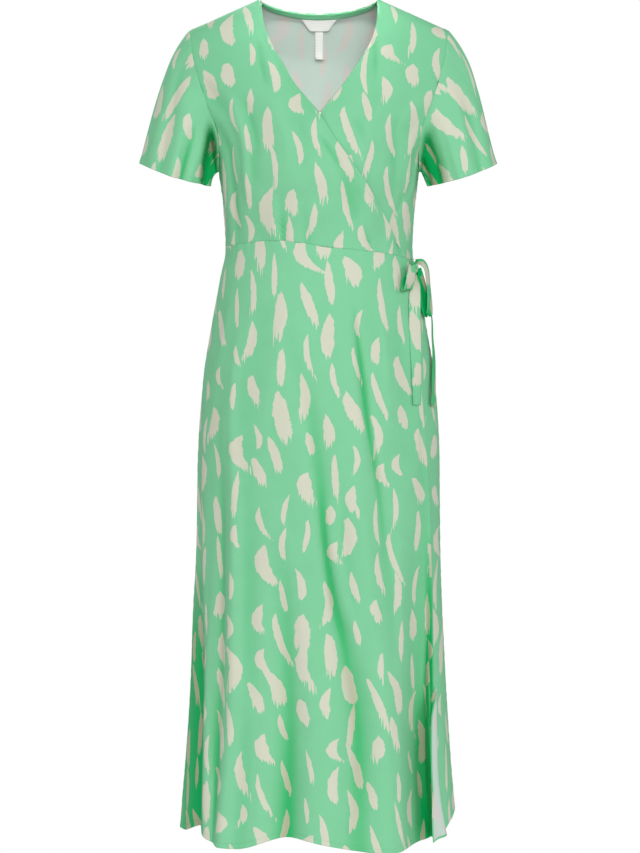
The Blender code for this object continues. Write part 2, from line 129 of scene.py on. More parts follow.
def waves(across: Array, down: Array, seed: int, size: float, count: int = 7) -> Array:
    """Uneven, slow undulation of hung cloth.

    Args:
        across: places across the cloth in metres.
        down: places down the cloth in metres.
        seed: number that fixes the directions and phases.
        size: usual length of one wave in metres.
        count: how many waves are added up.

    Returns:
        Heights of about -1 to 1.
    """
    rng = np.random.default_rng(seed)
    total = np.zeros(np.broadcast(across, down).shape)
    for _ in range(count):
        lean = rng.normal(0.0, WAVE_LEAN)
        length = size * rng.uniform(*WAVE_LENGTHS)
        phase = rng.uniform(0, 2 * math.pi)
        along = across * math.cos(lean) + down * math.sin(lean)
        total += np.sin(2 * math.pi * along / length + phase)
    return total / math.sqrt(count)


def crinkles(across: Array, down: Array, seed: int, size: float) -> Array:
    """Soft creases between shallow rounded fields, as crepe keeps after it has been folded away.

    Args:
        across: places across the cloth in metres.
        down: places down the cloth in metres.
        seed: number that fixes them.
        size: usual length of one wave in metres.

    Returns:
        Heights of about -1 to 0.5.
    """
    field_height = waves(across, down, seed, size, 5)
    return 0.5 - np.sqrt(field_height**2 + 0.02) + 0.5 * waves(across, down, seed + 100, 0.8 * size)


class SmoothTable:
    """Rows keyed by their first column, joined by curves that never swing beyond the rows."""

    def __init__(self, *rows: Sequence[float]) -> None:
        """Keep the rows and work out the slope of the curve at each."""
        table = np.asarray(rows, float)
        self.keys, self.values = table[:, 0], table[:, 1:]
        steps = np.diff(self.keys)[:, None]
        slopes = np.diff(self.values, axis=0) / steps
        before, after = 2 * steps[1:] + steps[:-1], steps[1:] + 2 * steps[:-1]
        steady = slopes[:-1] * slopes[1:] > 0
        safe = np.where(steady, slopes[:-1], 1.0), np.where(steady, slopes[1:], 1.0)
        self.slopes = np.vstack([slopes[:1], np.zeros_like(slopes[1:]), slopes[-1:]])
        self.slopes[1:-1] = np.where(steady, (before + after) / (before / safe[0] + after / safe[1]), 0.0)

    def read(self, at: Array | float, column: int = 0) -> Array:
        """Read one column.

        Args:
            at: values of the first column, held to its ends.
            column: which of the other columns.

        Returns:
            The curve's values there.
        """
        at = np.clip(np.asarray(at, float), self.keys[0], self.keys[-1])
        k = np.clip(np.searchsorted(self.keys, at, side="right") - 1, 0, len(self.keys) - 2)
        step = self.keys[k + 1] - self.keys[k]
        t = (at - self.keys[k]) / step
        start = (1 + 2 * t) * self.values[k, column] + t * step * self.slopes[k, column]
        end = (3 - 2 * t) * self.values[k + 1, column] - (1 - t) * step * self.slopes[k + 1, column]
        return (1 - t) ** 2 * start + t**2 * end


class Fold(SmoothTable):
    """A soft fold that runs down the skirt: rows of drop, turn, half width in degrees, and height."""

    def height(self, turn: Array, drop: Array) -> Array:
        """Height of the fold at places on the tube, metres out of it where positive."""
        off = wrapped(turn - self.read(drop, 0)) / self.read(drop, 1)
        return self.read(drop, 2) * np.exp(-off * off)


@dataclass(frozen=True)
class Crease:
    """A soft trough or ridge between two places, which fades out at both ends."""

    start: tuple[float, float]  # turn, drop
    end: tuple[float, float]
    half_width: float  # metres
    depth: float  # out of the cloth where positive
    fade: float = 0.35  # share of its length over which each end fades

    def height(self, turn: Array, drop: Array) -> Array:
        """Height of the crease at places on the tube.

        Args:
            turn: degrees round the tube.
            drop: metres down it.

        Returns:
            Metres, out of the cloth where positive.
        """
        scale = np.array([DEGREE_ACROSS, 1.0])
        start, end = np.array(self.start) * scale, np.array(self.end) * scale
        length = float(np.linalg.norm(end - start))
        along = (end - start) / length
        place = np.stack(np.broadcast_arrays(turn * DEGREE_ACROSS, drop), axis=-1) - start
        share = place @ along / length
        off = place @ np.array([-along[1], along[0]]) / self.half_width
        present = ease(share / self.fade) * ease((1 - share) / self.fade)
        return self.depth * present * np.exp(-off * off)


@dataclass(frozen=True)
class Tuck:
    """Cloth that folds straight back, behind the fold beside it."""

    # drop, depth, turn that it is shifted by, degrees beside its end over which it paints shade, and how much
    # painted shade
    table: SmoothTable
    turns: tuple[float, float, float, float]  # where it starts, is deepest, is still deepest and ends
    onset: float = 1.5  # degrees over which its painted shade starts
    shallow_onset: float = 0.0  # degrees more where it is shallow
    deep: float = 0.045  # depth from which it isn't shallow
    past_end: float = 0.5  # degrees past its end that still get painted shade

    def depth(self, turn: Array, drop: Array) -> Array:
        """How far back it goes at places on the tube.

        Args:
            turn: degrees round the tube.
            drop: metres down it.

        Returns:
            Depths in metres.
        """
        start, deepest, still, end = self.turns
        turn = turn - self.table.read(drop, 1)
        going_back, coming_out = (turn - start) / (deepest - start), (end - turn) / (end - still)
        return self.table.read(drop, 0) * ease(going_back) * ease(coming_out)

    def painted_shade(self, turn: Array, drop: Array) -> Array:
        """How much painted shade it puts on the cloth beside its end.

        Args:
            turn: degrees round the tube.
            drop: metres down it.

        Returns:
            Shares from 0 to 1.
        """
        depth, shift, reach, share = (self.table.read(drop, k) for k in range(4))
        before = self.turns[3] + shift - turn
        fade = np.exp(-(np.abs(before / reach) ** 3))
        step = self.onset + self.shallow_onset * ease(1 - depth / self.deep)
        return share * ease((before + self.past_end) / step) * fade


class DressForm:
    """The hollow shape that the hung dress has, as a tube of rings with soft folds."""

    # drop, half width, depth in front of the side seams, depth behind them
    RINGS = (
        (0.000, 0.2120, 0.000, 0.000),
        (0.020, 0.2120, 0.042, 0.042),
        (0.050, 0.2120, 0.064, 0.062),
        (0.090, 0.2080, 0.085, 0.082),
        (0.127, 0.1960, 0.099, 0.092),
        (0.160, 0.1780, 0.108, 0.096),
        (0.194, 0.1600, 0.114, 0.096),
        (0.225, 0.1495, 0.117, 0.094),
        (0.250, 0.1460, 0.117, 0.092),
        (0.300, 0.1400, 0.108, 0.084),
        (0.362, 0.1360, 0.097, 0.078),
        (0.405, 0.1440, 0.101, 0.090),
        (0.478, 0.1570, 0.110, 0.108),
        (0.551, 0.1690, 0.117, 0.120),
        (0.661, 0.1760, 0.121, 0.124),
        (0.808, 0.1780, 0.121, 0.122),
        (0.954, 0.1840, 0.122, 0.122),
        (1.101, 0.1930, 0.126, 0.126),
        (1.240, 0.2050, 0.132, 0.132),
    )
    FOLDS = (
        # the front, from the wearer's right side to the left
        Fold(
            (0.40, -48, 7, 0), (0.56, -47, 7, 0.003), (0.75, -43, 7, 0.006), (1.01, -41, 7, 0.008),
            (1.22, -43, 8, 0.010),
        ),
        Fold(
            (0.42, -47, 2.6, 0), (0.56, -46.5, 2.6, 0.0012), (0.75, -42.5, 2.6, 0.0016),
            (1.01, -40.5, 2.8, 0.0018), (1.22, -43.5, 3, 0.002),
        ),
        Fold((0.60, -54, 4, 0), (0.80, -51, 4, -0.003), (1.01, -50, 4.5, -0.005), (1.22, -51, 5, -0.006)),
        Fold((0.86, -61, 3, 0), (0.95, -61, 3, 0.003), (1.10, -57, 3, 0.005), (1.22, -52.5, 3, 0.006)),
        Fold((0.66, -88, 9, 0), (0.80, -88, 9, 0.001), (0.95, -88, 9, 0.004), (1.22, -88, 9, 0.0035)),
        Fold((0.78, -13, 7, 0), (0.90, -14, 7, -0.006), (1.05, -13, 7, -0.014), (1.22, -14, 8, -0.020)),
        Fold(
            (0.46, -17, 7, 0), (0.58, -6, 6.5, -0.0045), (0.70, 0.5, 5, -0.0075),
            (0.78, 2.5, 2.5, -0.0088), (0.86, 6.5, 2.7, -0.0100), (0.94, 12, 5, -0.0100),
            (1.08, 18, 7, -0.0120), (1.22, 17, 8, -0.0100),
        ),
        Fold(
            (0.44, 19, 2.2, 0), (0.50, 20.5, 2.2, -0.0042), (0.60, 23, 2.3, -0.0062),
            (0.67, 26.5, 2.5, -0.0060), (0.74, 30.5, 2.8, -0.0040), (0.84, 33, 4, 0),
        ),
        Fold(
            (0.56, 14, 7, 0), (0.70, 18, 7, 0.004), (0.87, 26, 8, 0.008), (1.00, 29, 8, 0.010),
            (1.22, 28, 9, 0.012),
        ),
        Fold((0.70, 72, 9, 0), (1.22, 70, 9, 0.004)),
        # the back, from the left side to the right
        Fold((0.60, 104, 9, 0), (0.85, 105, 8, -0.004), (1.05, 107, 8, -0.011), (1.22, 108, 8, -0.015)),
        Fold((0.55, 128, 9, 0), (0.80, 129, 8, 0.004), (1.22, 130, 9, 0.011)),
        Fold((0.48, 150, 8, 0), (0.70, 150, 7, -0.006), (1.00, 149, 7, -0.013), (1.22, 149, 8, -0.018)),
        Fold((0.44, 168, 4, 0), (0.55, 169, 4, -0.003), (0.70, 171, 4, -0.004), (0.85, 174, 5, 0)),
        Fold((0.62, 176, 12, 0), (0.90, 177, 10, 0.006), (1.22, 179, 11, 0.011)),
        Fold((0.44, -160, 5, 0), (0.60, -156, 5, -0.005), (0.85, -152, 6, -0.010), (1.22, -150, 8, -0.019)),
        Fold((0.64, -130, 9, 0), (0.90, -128, 8, 0.006), (1.22, -127, 9, 0.012)),
        Fold((0.70, -108, 8, 0), (1.00, -106, 7, -0.007), (1.22, -104, 8, -0.012)),
    )
    TUCKS = (
        Tuck(
            SmoothTable(
                (0.80, 0, -9, 14, 0),
                (0.88, 0.016, -7.5, 23, 0.55),
                (0.96, 0.036, -4.5, 29, 0.95),
                (1.10, 0.054, 0, 31, 1),
                (1.24, 0.060, 5, 31, 1),
            ),
            (-138, -104, -62.6, -60.5),
            shallow_onset=3.5,
        ),
        Tuck(
            SmoothTable(
                (0.76, 0, 3, 3, 0),
                (0.84, 0.007, 2.5, 4, 0.75),
                (0.90, 0.011, 2, 5, 1),
                (1.00, 0.021, 0.5, 9, 1),
                (1.10, 0.034, -2, 14, 1),
                (1.24, 0.042, -3, 15, 1),
            ),
            (37, 50, 55, 60.5),
        ),
    )
    WAIST_LINE = SmoothTable(
        (-180, 0.366), (-90, 0.361), (-58, 0.356), (-26, 0.352), (5, 0.361), (40, 0.369), (74, 0.377),
        (90, 0.378), (180, 0.366),
    )
    HEM_LINE = SmoothTable(
        (-180, 1.212), (-120, 1.210), (-90, 1.222), (-80, 1.223), (-70, 1.218), (-64, 1.2125),
        (-59, 1.209), (-57, 1.2135), (-50, 1.2195), (-44, 1.2255), (-36, 1.226), (-14, 1.208), (5, 1.219),
        (15, 1.226), (28, 1.231), (42, 1.225), (51, 1.2215), (55, 1.2175), (60, 1.215), (66, 1.206),
        (69, 1.200), (78, 1.191), (90, 1.184), (130, 1.206), (180, 1.212),
    )
    # degrees round the armhole from the shoulder to the underarm, degrees that it bites in from the side
    ARMHOLE = SmoothTable(
        (0, 26.3), (53, 30.3), (74, 33.0), (91, 32.7), (106, 29.5), (124, 23.6), (143, 14.1), (180, 0.0)
    )

    def __init__(self) -> None:
        """Square the depths, so that the shoulders round off as a dome."""
        self.rings = SmoothTable(*((d, w, f * f, b * b) for d, w, f, b in self.RINGS))

    def ring(self, drop: Array | float) -> tuple[Array, Array, Array]:
        """Half width, front depth and back depth of the tube at a drop."""
        front, back = (np.sqrt(np.maximum(self.rings.read(drop, k), 0.0)) for k in (1, 2))
        return self.rings.read(drop, 0), front, back

    def place(self, turn: Array, drop: Array) -> Array:
        """Place on the tube, folds left out.

        Args:
            turn: degrees round the tube.
            drop: metres down it.

        Returns:
            x, y and z, last in the array.
        """
        half_width, front, back = self.ring(drop)
        side, face = np.sin(np.radians(turn)), np.cos(np.radians(turn))
        x = half_width * side
        y = -np.where(face > 0, front, back) * face
        past_neck = np.maximum(0.0, (np.abs(x) - NECK_HALF) / (SHOULDER_HALF - NECK_HALF))
        fade = np.maximum(0.0, 1 - drop / UNDERARM_DROP)
        return np.stack(np.broadcast_arrays(x, y, -drop - SHOULDER_FALL * past_neck * fade), axis=-1)

    def normal(self, turn: Array, drop: Array) -> Array:
        """Direction straight out of the tube.

        Args:
            turn: degrees round the tube.
            drop: metres down it.

        Returns:
            Normals of length one, x, y and z last.
        """
        drop = np.maximum(drop, 0.001)
        across = self.place(turn + 0.5, drop) - self.place(turn - 0.5, drop)
        down = self.place(turn, drop + 0.0005) - self.place(turn, drop - 0.0005)
        return unit(np.cross(down, across))

    def fold_height(self, turn: Array, drop: Array) -> Array:
        """Sum of the skirt's folds, out of the tube where positive."""
        return sum(fold.height(turn, drop) for fold in self.FOLDS)

    def point(self, turn: Array, drop: Array, out: Array | float = 0.0, tucked: Array | float = 1.0) -> Array:
        """Place on the folded tube, moved out along its normal.

        Args:
            turn: degrees round the tube.
            drop: metres down it.
            out: metres out from the folded tube.
            tucked: share of the tucks that it follows.

        Returns:
            x, y and z, last in the array.
        """
        height = self.fold_height(turn, drop) + out
        point = self.place(turn, drop) + self.normal(turn, drop) * np.asarray(height)[..., None]
        point[..., 1] += tucked * sum(tuck.depth(wrapped(turn), drop) for tuck in self.TUCKS)
        return point

    def painted_shade(self, turn: Array, drop: Array) -> Array:
        """Share of painted shade that the tucks put on places on the tube."""
        return sum(tuck.painted_shade(wrapped(turn), drop) for tuck in self.TUCKS)

    def even_shares(self, first: float, last: float, shares: Array, drop: float = 1.16) -> Array:
        """Share out the turns between two of them by the length of cloth, folds and tucks included.

        Args:
            first: turn where the cloth starts.
            last: turn where it ends.
            shares: shares of its length.
            drop: how far down it is measured.

        Returns:
            Shares of the turn.
        """
        even = np.linspace(0, 1, 1200)
        turn = first + (last - first) * even
        length = walked(self.point(turn, np.full_like(turn, drop)), 0)
        return np.interp(shares * length[-1], length, even)

    def turn_at(self, x: Array, drop: Array) -> Array:
        """Turn of a place in front that is stated by its sideways distance."""
        return np.degrees(np.arcsin(np.clip(x / self.ring(drop)[0], -1, 1)))

    def degree(self, turn: Array, drop: Array) -> Array:
        """Metres that one degree of turn measures."""
        return np.linalg.norm(self.place(turn + 0.5, drop) - self.place(turn - 0.5, drop), axis=-1)

    def armhole_turn(self, drop: Array) -> Array:
        """Turn of the armhole's edge at a drop, or of the side seam below it."""
        share = np.clip(1 - 2 * drop / UNDERARM_DROP, -1, 1)
        return 90.0 - self.ARMHOLE.read(np.degrees(np.arccos(share)))

    def settle_to_waist(self, turn: Array, drop: Array) -> Array:
        """Stretch the rows below the underarm so that the last one lies on the waist seam."""
        share = np.maximum(0.0, (drop - UNDERARM_DROP) / (WAIST_DROP - UNDERARM_DROP))
        return drop + share**2 * (self.WAIST_LINE.read(wrapped(turn)) - WAIST_DROP)


class Finish(Enum):
    """Which side of the cloth a face shows."""

    RIGHT_SIDE = 0
    WRONG_SIDE = 1


class Edge(Enum):
    """How an edge of a panel is finished."""

    SEAM = "seam"  # sewn to its neighbour, with its allowance inside
    TURNED = "turned"  # folded in once and stitched close to the edge
    ROLLED = "rolled"  # rolled in as narrow as it goes
    HEM = "hem"  # turned twice
    RAW = "raw"  # cut, heat sealed or hidden


BAND = {Edge.TURNED: 0.007, Edge.ROLLED: 0.0012, Edge.HEM: 0.008}  # how deep the doubled cloth reaches

# kinds of node with their settings
CLOTH_PLACE = ("ShaderNodeUVMap", {"uv_map": CLOTH_UV})
FLAT_NOISE = ("ShaderNodeTexNoise", {"noise_dimensions": "2D"})
COLOUR_MIX = ("ShaderNodeMix", {"data_type": "RGBA"})
MIX_RESULT = 2  # number of its output that holds the colour
WAVE_SCALE = 0.05  # at this scale a wave texture goes through one radian in a metre


def feed(tree: bpy.types.NodeTree, node: bpy.types.Node, links: dict[str | int, Any]) -> None:
    """Feed a node's inputs.

    Args:
        tree: the tree that the node is in.
        node: the node.
        links: for an input's name or number, the socket that feeds it or its value.
    """
    for key, value in links.items():
        if isinstance(value, bpy.types.NodeSocket):
            tree.links.new(value, node.inputs[key])
        else:
            node.inputs[key].default_value = value


def add_node(
    tree: bpy.types.NodeTree,
    kind: str,
    settings: dict[str, Any] | None = None,
    links: dict[str | int, Any] | None = None,
) -> bpy.types.Node:
    """Add a node with its settings and links.

    Args:
        tree: the tree that gets the node.
        kind: the node's type name.
        settings: attributes to set on it.
        links: for an input's name or number, the socket that feeds it or its value.

    Returns:
        The new node.
    """
    node = tree.nodes.new(kind)
    for name, value in (settings or {}).items():
        setattr(node, name, value)
    feed(tree, node, links or {})
    return node


def new_material(name: str) -> tuple[bpy.types.Material, bpy.types.NodeTree, bpy.types.Node]:
    """Start a material.

    Args:
        name: its name.

    Returns:
        The material, its tree and its shader.
    """
    material = bpy.data.materials.new(name)
    material.use_nodes = True
    return material, material.node_tree, material.node_tree.nodes["Principled BSDF"]


def put_in_scene(name: str, data: bpy.types.ID) -> bpy.types.Object:
    """Make an object of its data and link it to the scene.

    Args:
        name: the object's name.
        data: its mesh, light or camera.

    Returns:
        The new object.
    """
    new = bpy.data.objects.new(name, data)
    bpy.context.scene.collection.objects.link(new)
    return new


@dataclass(frozen=True)
class BrushDabPrint:
    """Loose dabs of a flat brush, pointed where it lands and ragged where it lifts, in staggered columns."""

    across: float = 0.0358  # from column to column of dabs
    down: float = 0.0655  # from dab to dab down a column
    stagger: float = 0.618  # how far each column is shifted from the one before, in dabs
    astray: tuple[float, float] = (0.42, 0.30)  # share of the spacing that a dab may be out of place
    lean: tuple[float, float] = (-0.18, 0.32)  # slope of a dab, over to the left at its top where positive
    half_length: tuple[float, float] = (0.0150, 0.0370)
    half_width: tuple[float, float] = (0.0044, 0.0124)
    bristle: float = 0.0024  # width of a tooth at the ragged end
    streak: float = 0.05  # width of a bristle's streak as a share of its length
    drift: float = 0.006  # how far the columns wander
    drift_scale: float = 8.0  # how often they do in a metre
    wobble_scale: float = 105.0  # how often a dab's edges wobble in a metre
    soft_edge: float = 0.12  # share of a dab's half width over which its edge fades
    # what a chance of 0 to 1 is multiplied by for a dab, and what is added to that
    curve: tuple[float, float] = (2.6, -1.3)  # how bent it is
    slant: tuple[float, float] = (0.66, -0.20)  # how its ends are slanted
    ragged: tuple[float, float] = (1.3, 0.50)  # how ragged its low end is
    point: tuple[float, float] = (1.4, 1.5)  # how blunt its pointed end is
    low_end: tuple[float, float] = (-1.1, 0.3)  # the same for the place along it, which gives its low end
    blunter: float = 4.0  # how much blunter the low end is
    rough: float = 0.5  # how far its edges wobble, in half widths
    length_bias: float = 1.1  # above 1, short dabs are more usual than long ones
    width_bias: float = 1.5

    def mask(self, tree: bpy.types.NodeTree) -> bpy.types.NodeSocket:
        """Lay the print.

        Args:
            tree: the material's tree.

        Returns:
            A socket that is 1 on a dab and 0 on the ground.
        """
        grain = add_node(tree, *CLOTH_PLACE).outputs[0]
        slow = add_node(tree, *FLAT_NOISE, {"Vector": grain, "Scale": self.drift_scale, "Detail": 0.0})
        drifting = {0: slow.outputs["Color"], 1: (2 * self.drift,) * 3, 2: grain}
        wander = add_node(tree, "ShaderNodeVectorMath", {"operation": "MULTIPLY_ADD"}, drifting)
        combing = {0: grain, 1: (1 / self.bristle, self.streak / self.bristle, 0.0)}
        combed = add_node(tree, "ShaderNodeVectorMath", {"operation": "MULTIPLY"}, combing)
        streaks = add_node(tree, *FLAT_NOISE, {"Vector": combed.outputs[0], "Scale": 1.0, "Detail": 1.5})
        fine = {"Vector": grain, "Scale": self.wobble_scale, "Detail": 2.0}
        wobble = add_node(tree, *FLAT_NOISE, fine)
        spot = add_node(tree, "ShaderNodeSeparateXYZ", {}, {0: wander.outputs[0]}).outputs
        shared = {"x": spot[0], "y": spot[1], "streaks": streaks.outputs[0], "wobble": wobble.outputs[0]}
        print_mask = 0.0
        for column in (-1, 0, 1):
            for row in (0, 1):
                either = {0: self.dab(tree, shared, column, row), 1: print_mask}
                print_mask = add_node(tree, "ShaderNodeMath", {"operation": "MAXIMUM"}, either).outputs[0]
        return print_mask

    def dab(self, tree: bpy.types.NodeTree, shared: dict, column: int, row: int) -> bpy.types.NodeSocket:
        """Draw the dab of one of the six nearest places of the scatter.

        Args:
            tree: the material's tree.
            shared: sockets of the place on the cloth, the bristles' streaks and the edges' wobble, by name.
            column: 0 for the nearest column, -1 and 1 for those beside it.
            row: 0 for the dab below, 1 for the one above.

        Returns:
            A socket that is 1 on the dab.
        """
        seat = (
            ("column_near", "MULTIPLY_ADD", "x", 1 / self.across, float(column)),
            ("column", "FLOOR", "column_near"),
            ("row_plain", "MULTIPLY_ADD", "y", 1 / self.down, row - 0.5),
            ("row_near", "MULTIPLY_ADD", "column", self.stagger, "row_plain"),
            ("row", "FLOOR", "row_near"),
            ("part_x", "FRACT", "column_near"),
            ("part_y", "FRACT", "row_near"),
        )
        room_x, room_y = self.across * self.astray[0], self.down * self.astray[1]
        short, wide = self.half_length, self.half_width
        shape = (
            ("side", "MULTIPLY_ADD", "part_x", self.across, room_x / 2 - (column + 0.5) * self.across),
            ("rise", "MULTIPLY_ADD", "part_y", self.down, room_y / 2 - row * self.down),
            ("u", "MULTIPLY_ADD", "chance_0", -room_x, "side"),
            ("v", "MULTIPLY_ADD", "chance_1", -room_y, "rise"),
            ("lean", "MULTIPLY_ADD", "chance_2", self.lean[1] - self.lean[0], self.lean[0]),
            ("u", "MULTIPLY_ADD", "v", "lean", "u"),
            ("length", "POWER", "chance_3", self.length_bias),
            ("length", "MULTIPLY_ADD", "length", short[1] - short[0], short[0]),
            ("width", "POWER", "chance_4", self.width_bias),
            ("width", "MULTIPLY_ADD", "width", wide[1] - wide[0], wide[0]),
            ("along", "DIVIDE", "v", "length"),
            ("curve", "MULTIPLY_ADD", "chance_5", *self.curve),
            ("bow", "MULTIPLY", "along", "along"),
            ("bow", "MULTIPLY", "bow", "curve"),
            ("off", "DIVIDE", "u", "width"),
            ("off", "ADD", "off", "bow"),
            ("slant", "MULTIPLY_ADD", "chance_8", *self.slant),
            ("along", "MULTIPLY_ADD", "off", "slant", "along"),
            ("low", "MULTIPLY_ADD", "along", *self.low_end),
            ("low", "MAXIMUM", "low", 0.0),
            ("low", "MINIMUM", "low", 1.0),
            ("ragged", "MULTIPLY_ADD", "chance_6", *self.ragged),
            ("ragged", "MULTIPLY", "low", "ragged"),
            ("tooth", "SUBTRACT", "streaks", 0.5),
            ("reach", "MULTIPLY_ADD", "tooth", "ragged", "along"),
            ("reach", "ABSOLUTE", "reach"),
            ("point", "MULTIPLY_ADD", "chance_7", *self.point),
            ("blunt", "MULTIPLY_ADD", "low", self.blunter, "point"),
            ("spent", "POWER", "reach", "blunt"),
            ("profile", "SUBTRACT", 1.0, "spent"),
            ("rough", "SUBTRACT", "wobble", 0.5),
            ("off", "MULTIPLY_ADD", "rough", self.rough, "off"),
            ("off", "ABSOLUTE", "off"),
            ("inside", "SUBTRACT", "profile", "off"),
        )
        sockets = dict(shared)
        self.reckon(tree, sockets, seat)
        for k, level in enumerate((0.5, 7.5, 14.5)):  # three draws of three chances for each place
            place = {0: sockets["column"], 1: sockets["row"], 2: level}
            cell = add_node(tree, "ShaderNodeCombineXYZ", {}, place).outputs[0]
            chance = add_node(tree, "ShaderNodeTexWhiteNoise", {"noise_dimensions": "3D"}, {"Vector": cell})
            parts = add_node(tree, "ShaderNodeSeparateColor", {}, {0: chance.outputs["Color"]}).outputs
            sockets |= {f"chance_{3 * k + j}": parts[j] for j in range(3)}
        self.reckon(tree, sockets, shape)
        fading = {0: sockets["inside"], 1: 0.0, 2: self.soft_edge, 3: 0.0, 4: 1.0}
        return add_node(tree, "ShaderNodeMapRange", {"interpolation_type": "SMOOTHSTEP"}, fading).outputs[0]

    def reckon(self, tree: bpy.types.NodeTree, sockets: dict, steps: Sequence[tuple]) -> None:
        """Work sums out from named sockets.

        Args:
            tree: the material's tree.
            sockets: sockets by name, which gets each result.
            steps: for each sum its result's name, its operation and its inputs, names or values.
        """
        for name, operation, *inputs in steps:
            links = {k: sockets.get(value, value) for k, value in enumerate(inputs)}
            sockets[name] = add_node(tree, "ShaderNodeMath", {"operation": operation}, links).outputs[0]


@dataclass(frozen=True)
class Crepe:
    """Viscose crepe: tightly twisted yarns make a fine pebbled weave, so it is matt with a soft glow."""

    name: str
    ground: tuple[str, str]  # its own colour out in the open, then a darker, deeper green painted as shade where a fold shuts the cloth in
    # the dabs' own colour, then a darker one painted as shade where folds shut them in
    dabs: tuple[str, str]
    pebble: float = 0.0011  # the crinkle is about half this; it is drawn coarser so that it shows at all
    pebble_height: float = 0.0006
    cloud_scale: float = 35.0  # faint clouds that the dye leaves in a metre
    clouded: float = 0.93  # how light they are beside the ground
    roughness: float = 0.60
    sheen: float = 0.03
    gloss: float = 0.1
    pattern: BrushDabPrint | None = field(default_factory=BrushDabPrint)

    def material(self) -> bpy.types.Material:
        """Make the material: ground dyed by the print, darkened by painted shade where folds shut it in, with
        a pebbled surface.

        Returns:
            The material.
        """
        material, tree, shader = new_material(self.name)
        ground, ground_painted_shade, dab, dab_painted_shade = (linear(colour) for colour in (*self.ground, *self.dabs))
        grain = add_node(tree, *CLOTH_PLACE).outputs[0]
        clouds = add_node(tree, *FLAT_NOISE, {"Vector": grain, "Scale": self.cloud_scale, "Detail": 3.0})
        dye = {0: clouds.outputs[0], 6: ground, 7: shaded(self.ground[0], self.clouded)}
        dyed = add_node(tree, *COLOUR_MIX, dye)
        # painted shade: where folds shut the cloth in, its ground and dabs turn to their darker colours
        painted_shade = add_node(tree, "ShaderNodeAttribute", {"attribute_name": PAINTED_SHADE}).outputs["Fac"]
        plain = add_node(tree, *COLOUR_MIX, {0: painted_shade, 6: dyed.outputs[MIX_RESULT], 7: ground_painted_shade})
        dabs = add_node(tree, *COLOUR_MIX, {0: painted_shade, 6: dab, 7: dab_painted_shade})
        mask = self.pattern.mask(tree) if self.pattern else 0.0
        colours = {0: mask, 6: plain.outputs[MIX_RESULT], 7: dabs.outputs[MIX_RESULT]}
        printed = add_node(tree, *COLOUR_MIX, colours)
        pebbles = add_node(tree, *FLAT_NOISE, {"Vector": grain, "Scale": 1 / self.pebble, "Detail": 2.0})
        raised = {"Strength": 0.22, "Distance": self.pebble_height, "Height": pebbles.outputs[0]}
        looks = {
            "Base Color": printed.outputs[MIX_RESULT],
            "Normal": add_node(tree, "ShaderNodeBump", {}, raised).outputs[0],
            "Roughness": self.roughness,
            "Specular IOR Level": self.gloss,
            "Sheen Weight": self.sheen,
            "Sheen Roughness": 0.6,
        }
        feed(tree, shader, looks)
        return material


def shaded(hex_colour: str, share: float) -> tuple[float, float, float, float]:
    """Darken a hex colour by a share of its light."""
    red, green, blue, alpha = linear(hex_colour)
    return red * share, green * share, blue * share, alpha


@dataclass(frozen=True)
class LabelSatin:
    """Woven label satin: long floats along one way give it a smooth, faintly ribbed face."""

    name: str = "woven_label_satin"
    colour: str = "#FBFAF6"
    rib: float = 0.0007  # a radian of the ribs; threads are 0.2 mm apart, drawn coarser so that they show

    def material(self) -> bpy.types.Material:
        """Make the material: ribs a little darker between them and barely raised.

        Returns:
            The material.
        """
        material, tree, shader = new_material(self.name)
        grain = add_node(tree, *CLOTH_PLACE).outputs[0]
        lines = {"Vector": grain, "Scale": WAVE_SCALE / self.rib}
        ribs = add_node(tree, "ShaderNodeTexWave", {"bands_direction": "Y"}, lines).outputs[1]
        tint = add_node(tree, *COLOUR_MIX, {0: ribs, 6: shaded(self.colour, 0.95), 7: linear(self.colour)})
        bump = add_node(tree, "ShaderNodeBump", {}, {"Strength": 0.06, "Distance": 0.0003, "Height": ribs})
        looks = {"Base Color": tint.outputs[MIX_RESULT], "Normal": bump.outputs[0], "Roughness": 0.42}
        feed(tree, shader, looks)
        return material


@dataclass(frozen=True)
class Thread:
    """Spun polyester sewing thread, dyed to the cloth: a dull twisted strand."""

    name: str = "spun_sewing_thread"
    colour: str = "#62C38A"
    twist: float = 0.0006  # from ply to ply; drawn coarser, this far for each radian, so that it shows

    def material(self) -> bpy.types.Material:
        """Make the material: slanting plies, darker between them.

        Returns:
            The material.
        """
        material, tree, shader = new_material(self.name)
        place = add_node(tree, "ShaderNodeTexCoord").outputs["Object"]
        lines = {"Vector": place, "Scale": WAVE_SCALE / self.twist}
        plies = add_node(tree, "ShaderNodeTexWave", {"bands_direction": "DIAGONAL"}, lines).outputs[1]
        tint = add_node(tree, *COLOUR_MIX, {0: plies, 6: shaded(self.colour, 0.8), 7: linear(self.colour)})
        feed(tree, shader, {"Base Color": tint.outputs[MIX_RESULT], "Roughness": 0.7})
        return material


@dataclass(frozen=True)
class FloorPaint:
    """Matt white floor paint, rolled on: no gloss and a faint unevenness."""

    name: str = "rolled_floor_paint"
    colour: str = "#F4F3F0"

    def material(self) -> bpy.types.Material:
        """Make the material: a roller's faint clouds.

        Returns:
            The material.
        """
        material, tree, shader = new_material(self.name)
        place = add_node(tree, "ShaderNodeTexCoord").outputs["Object"]
        roller = {"Vector": place, "Scale": 6.0, "Detail": 4.0}
        clouds = add_node(tree, "ShaderNodeTexNoise", {}, roller).outputs[0]
        tint = add_node(tree, *COLOUR_MIX, {0: clouds, 6: shaded(self.colour, 0.97), 7: linear(self.colour)})
        feed(tree, shader, {"Base Color": tint.outputs[MIX_RESULT], "Roughness": 0.9})
        return material


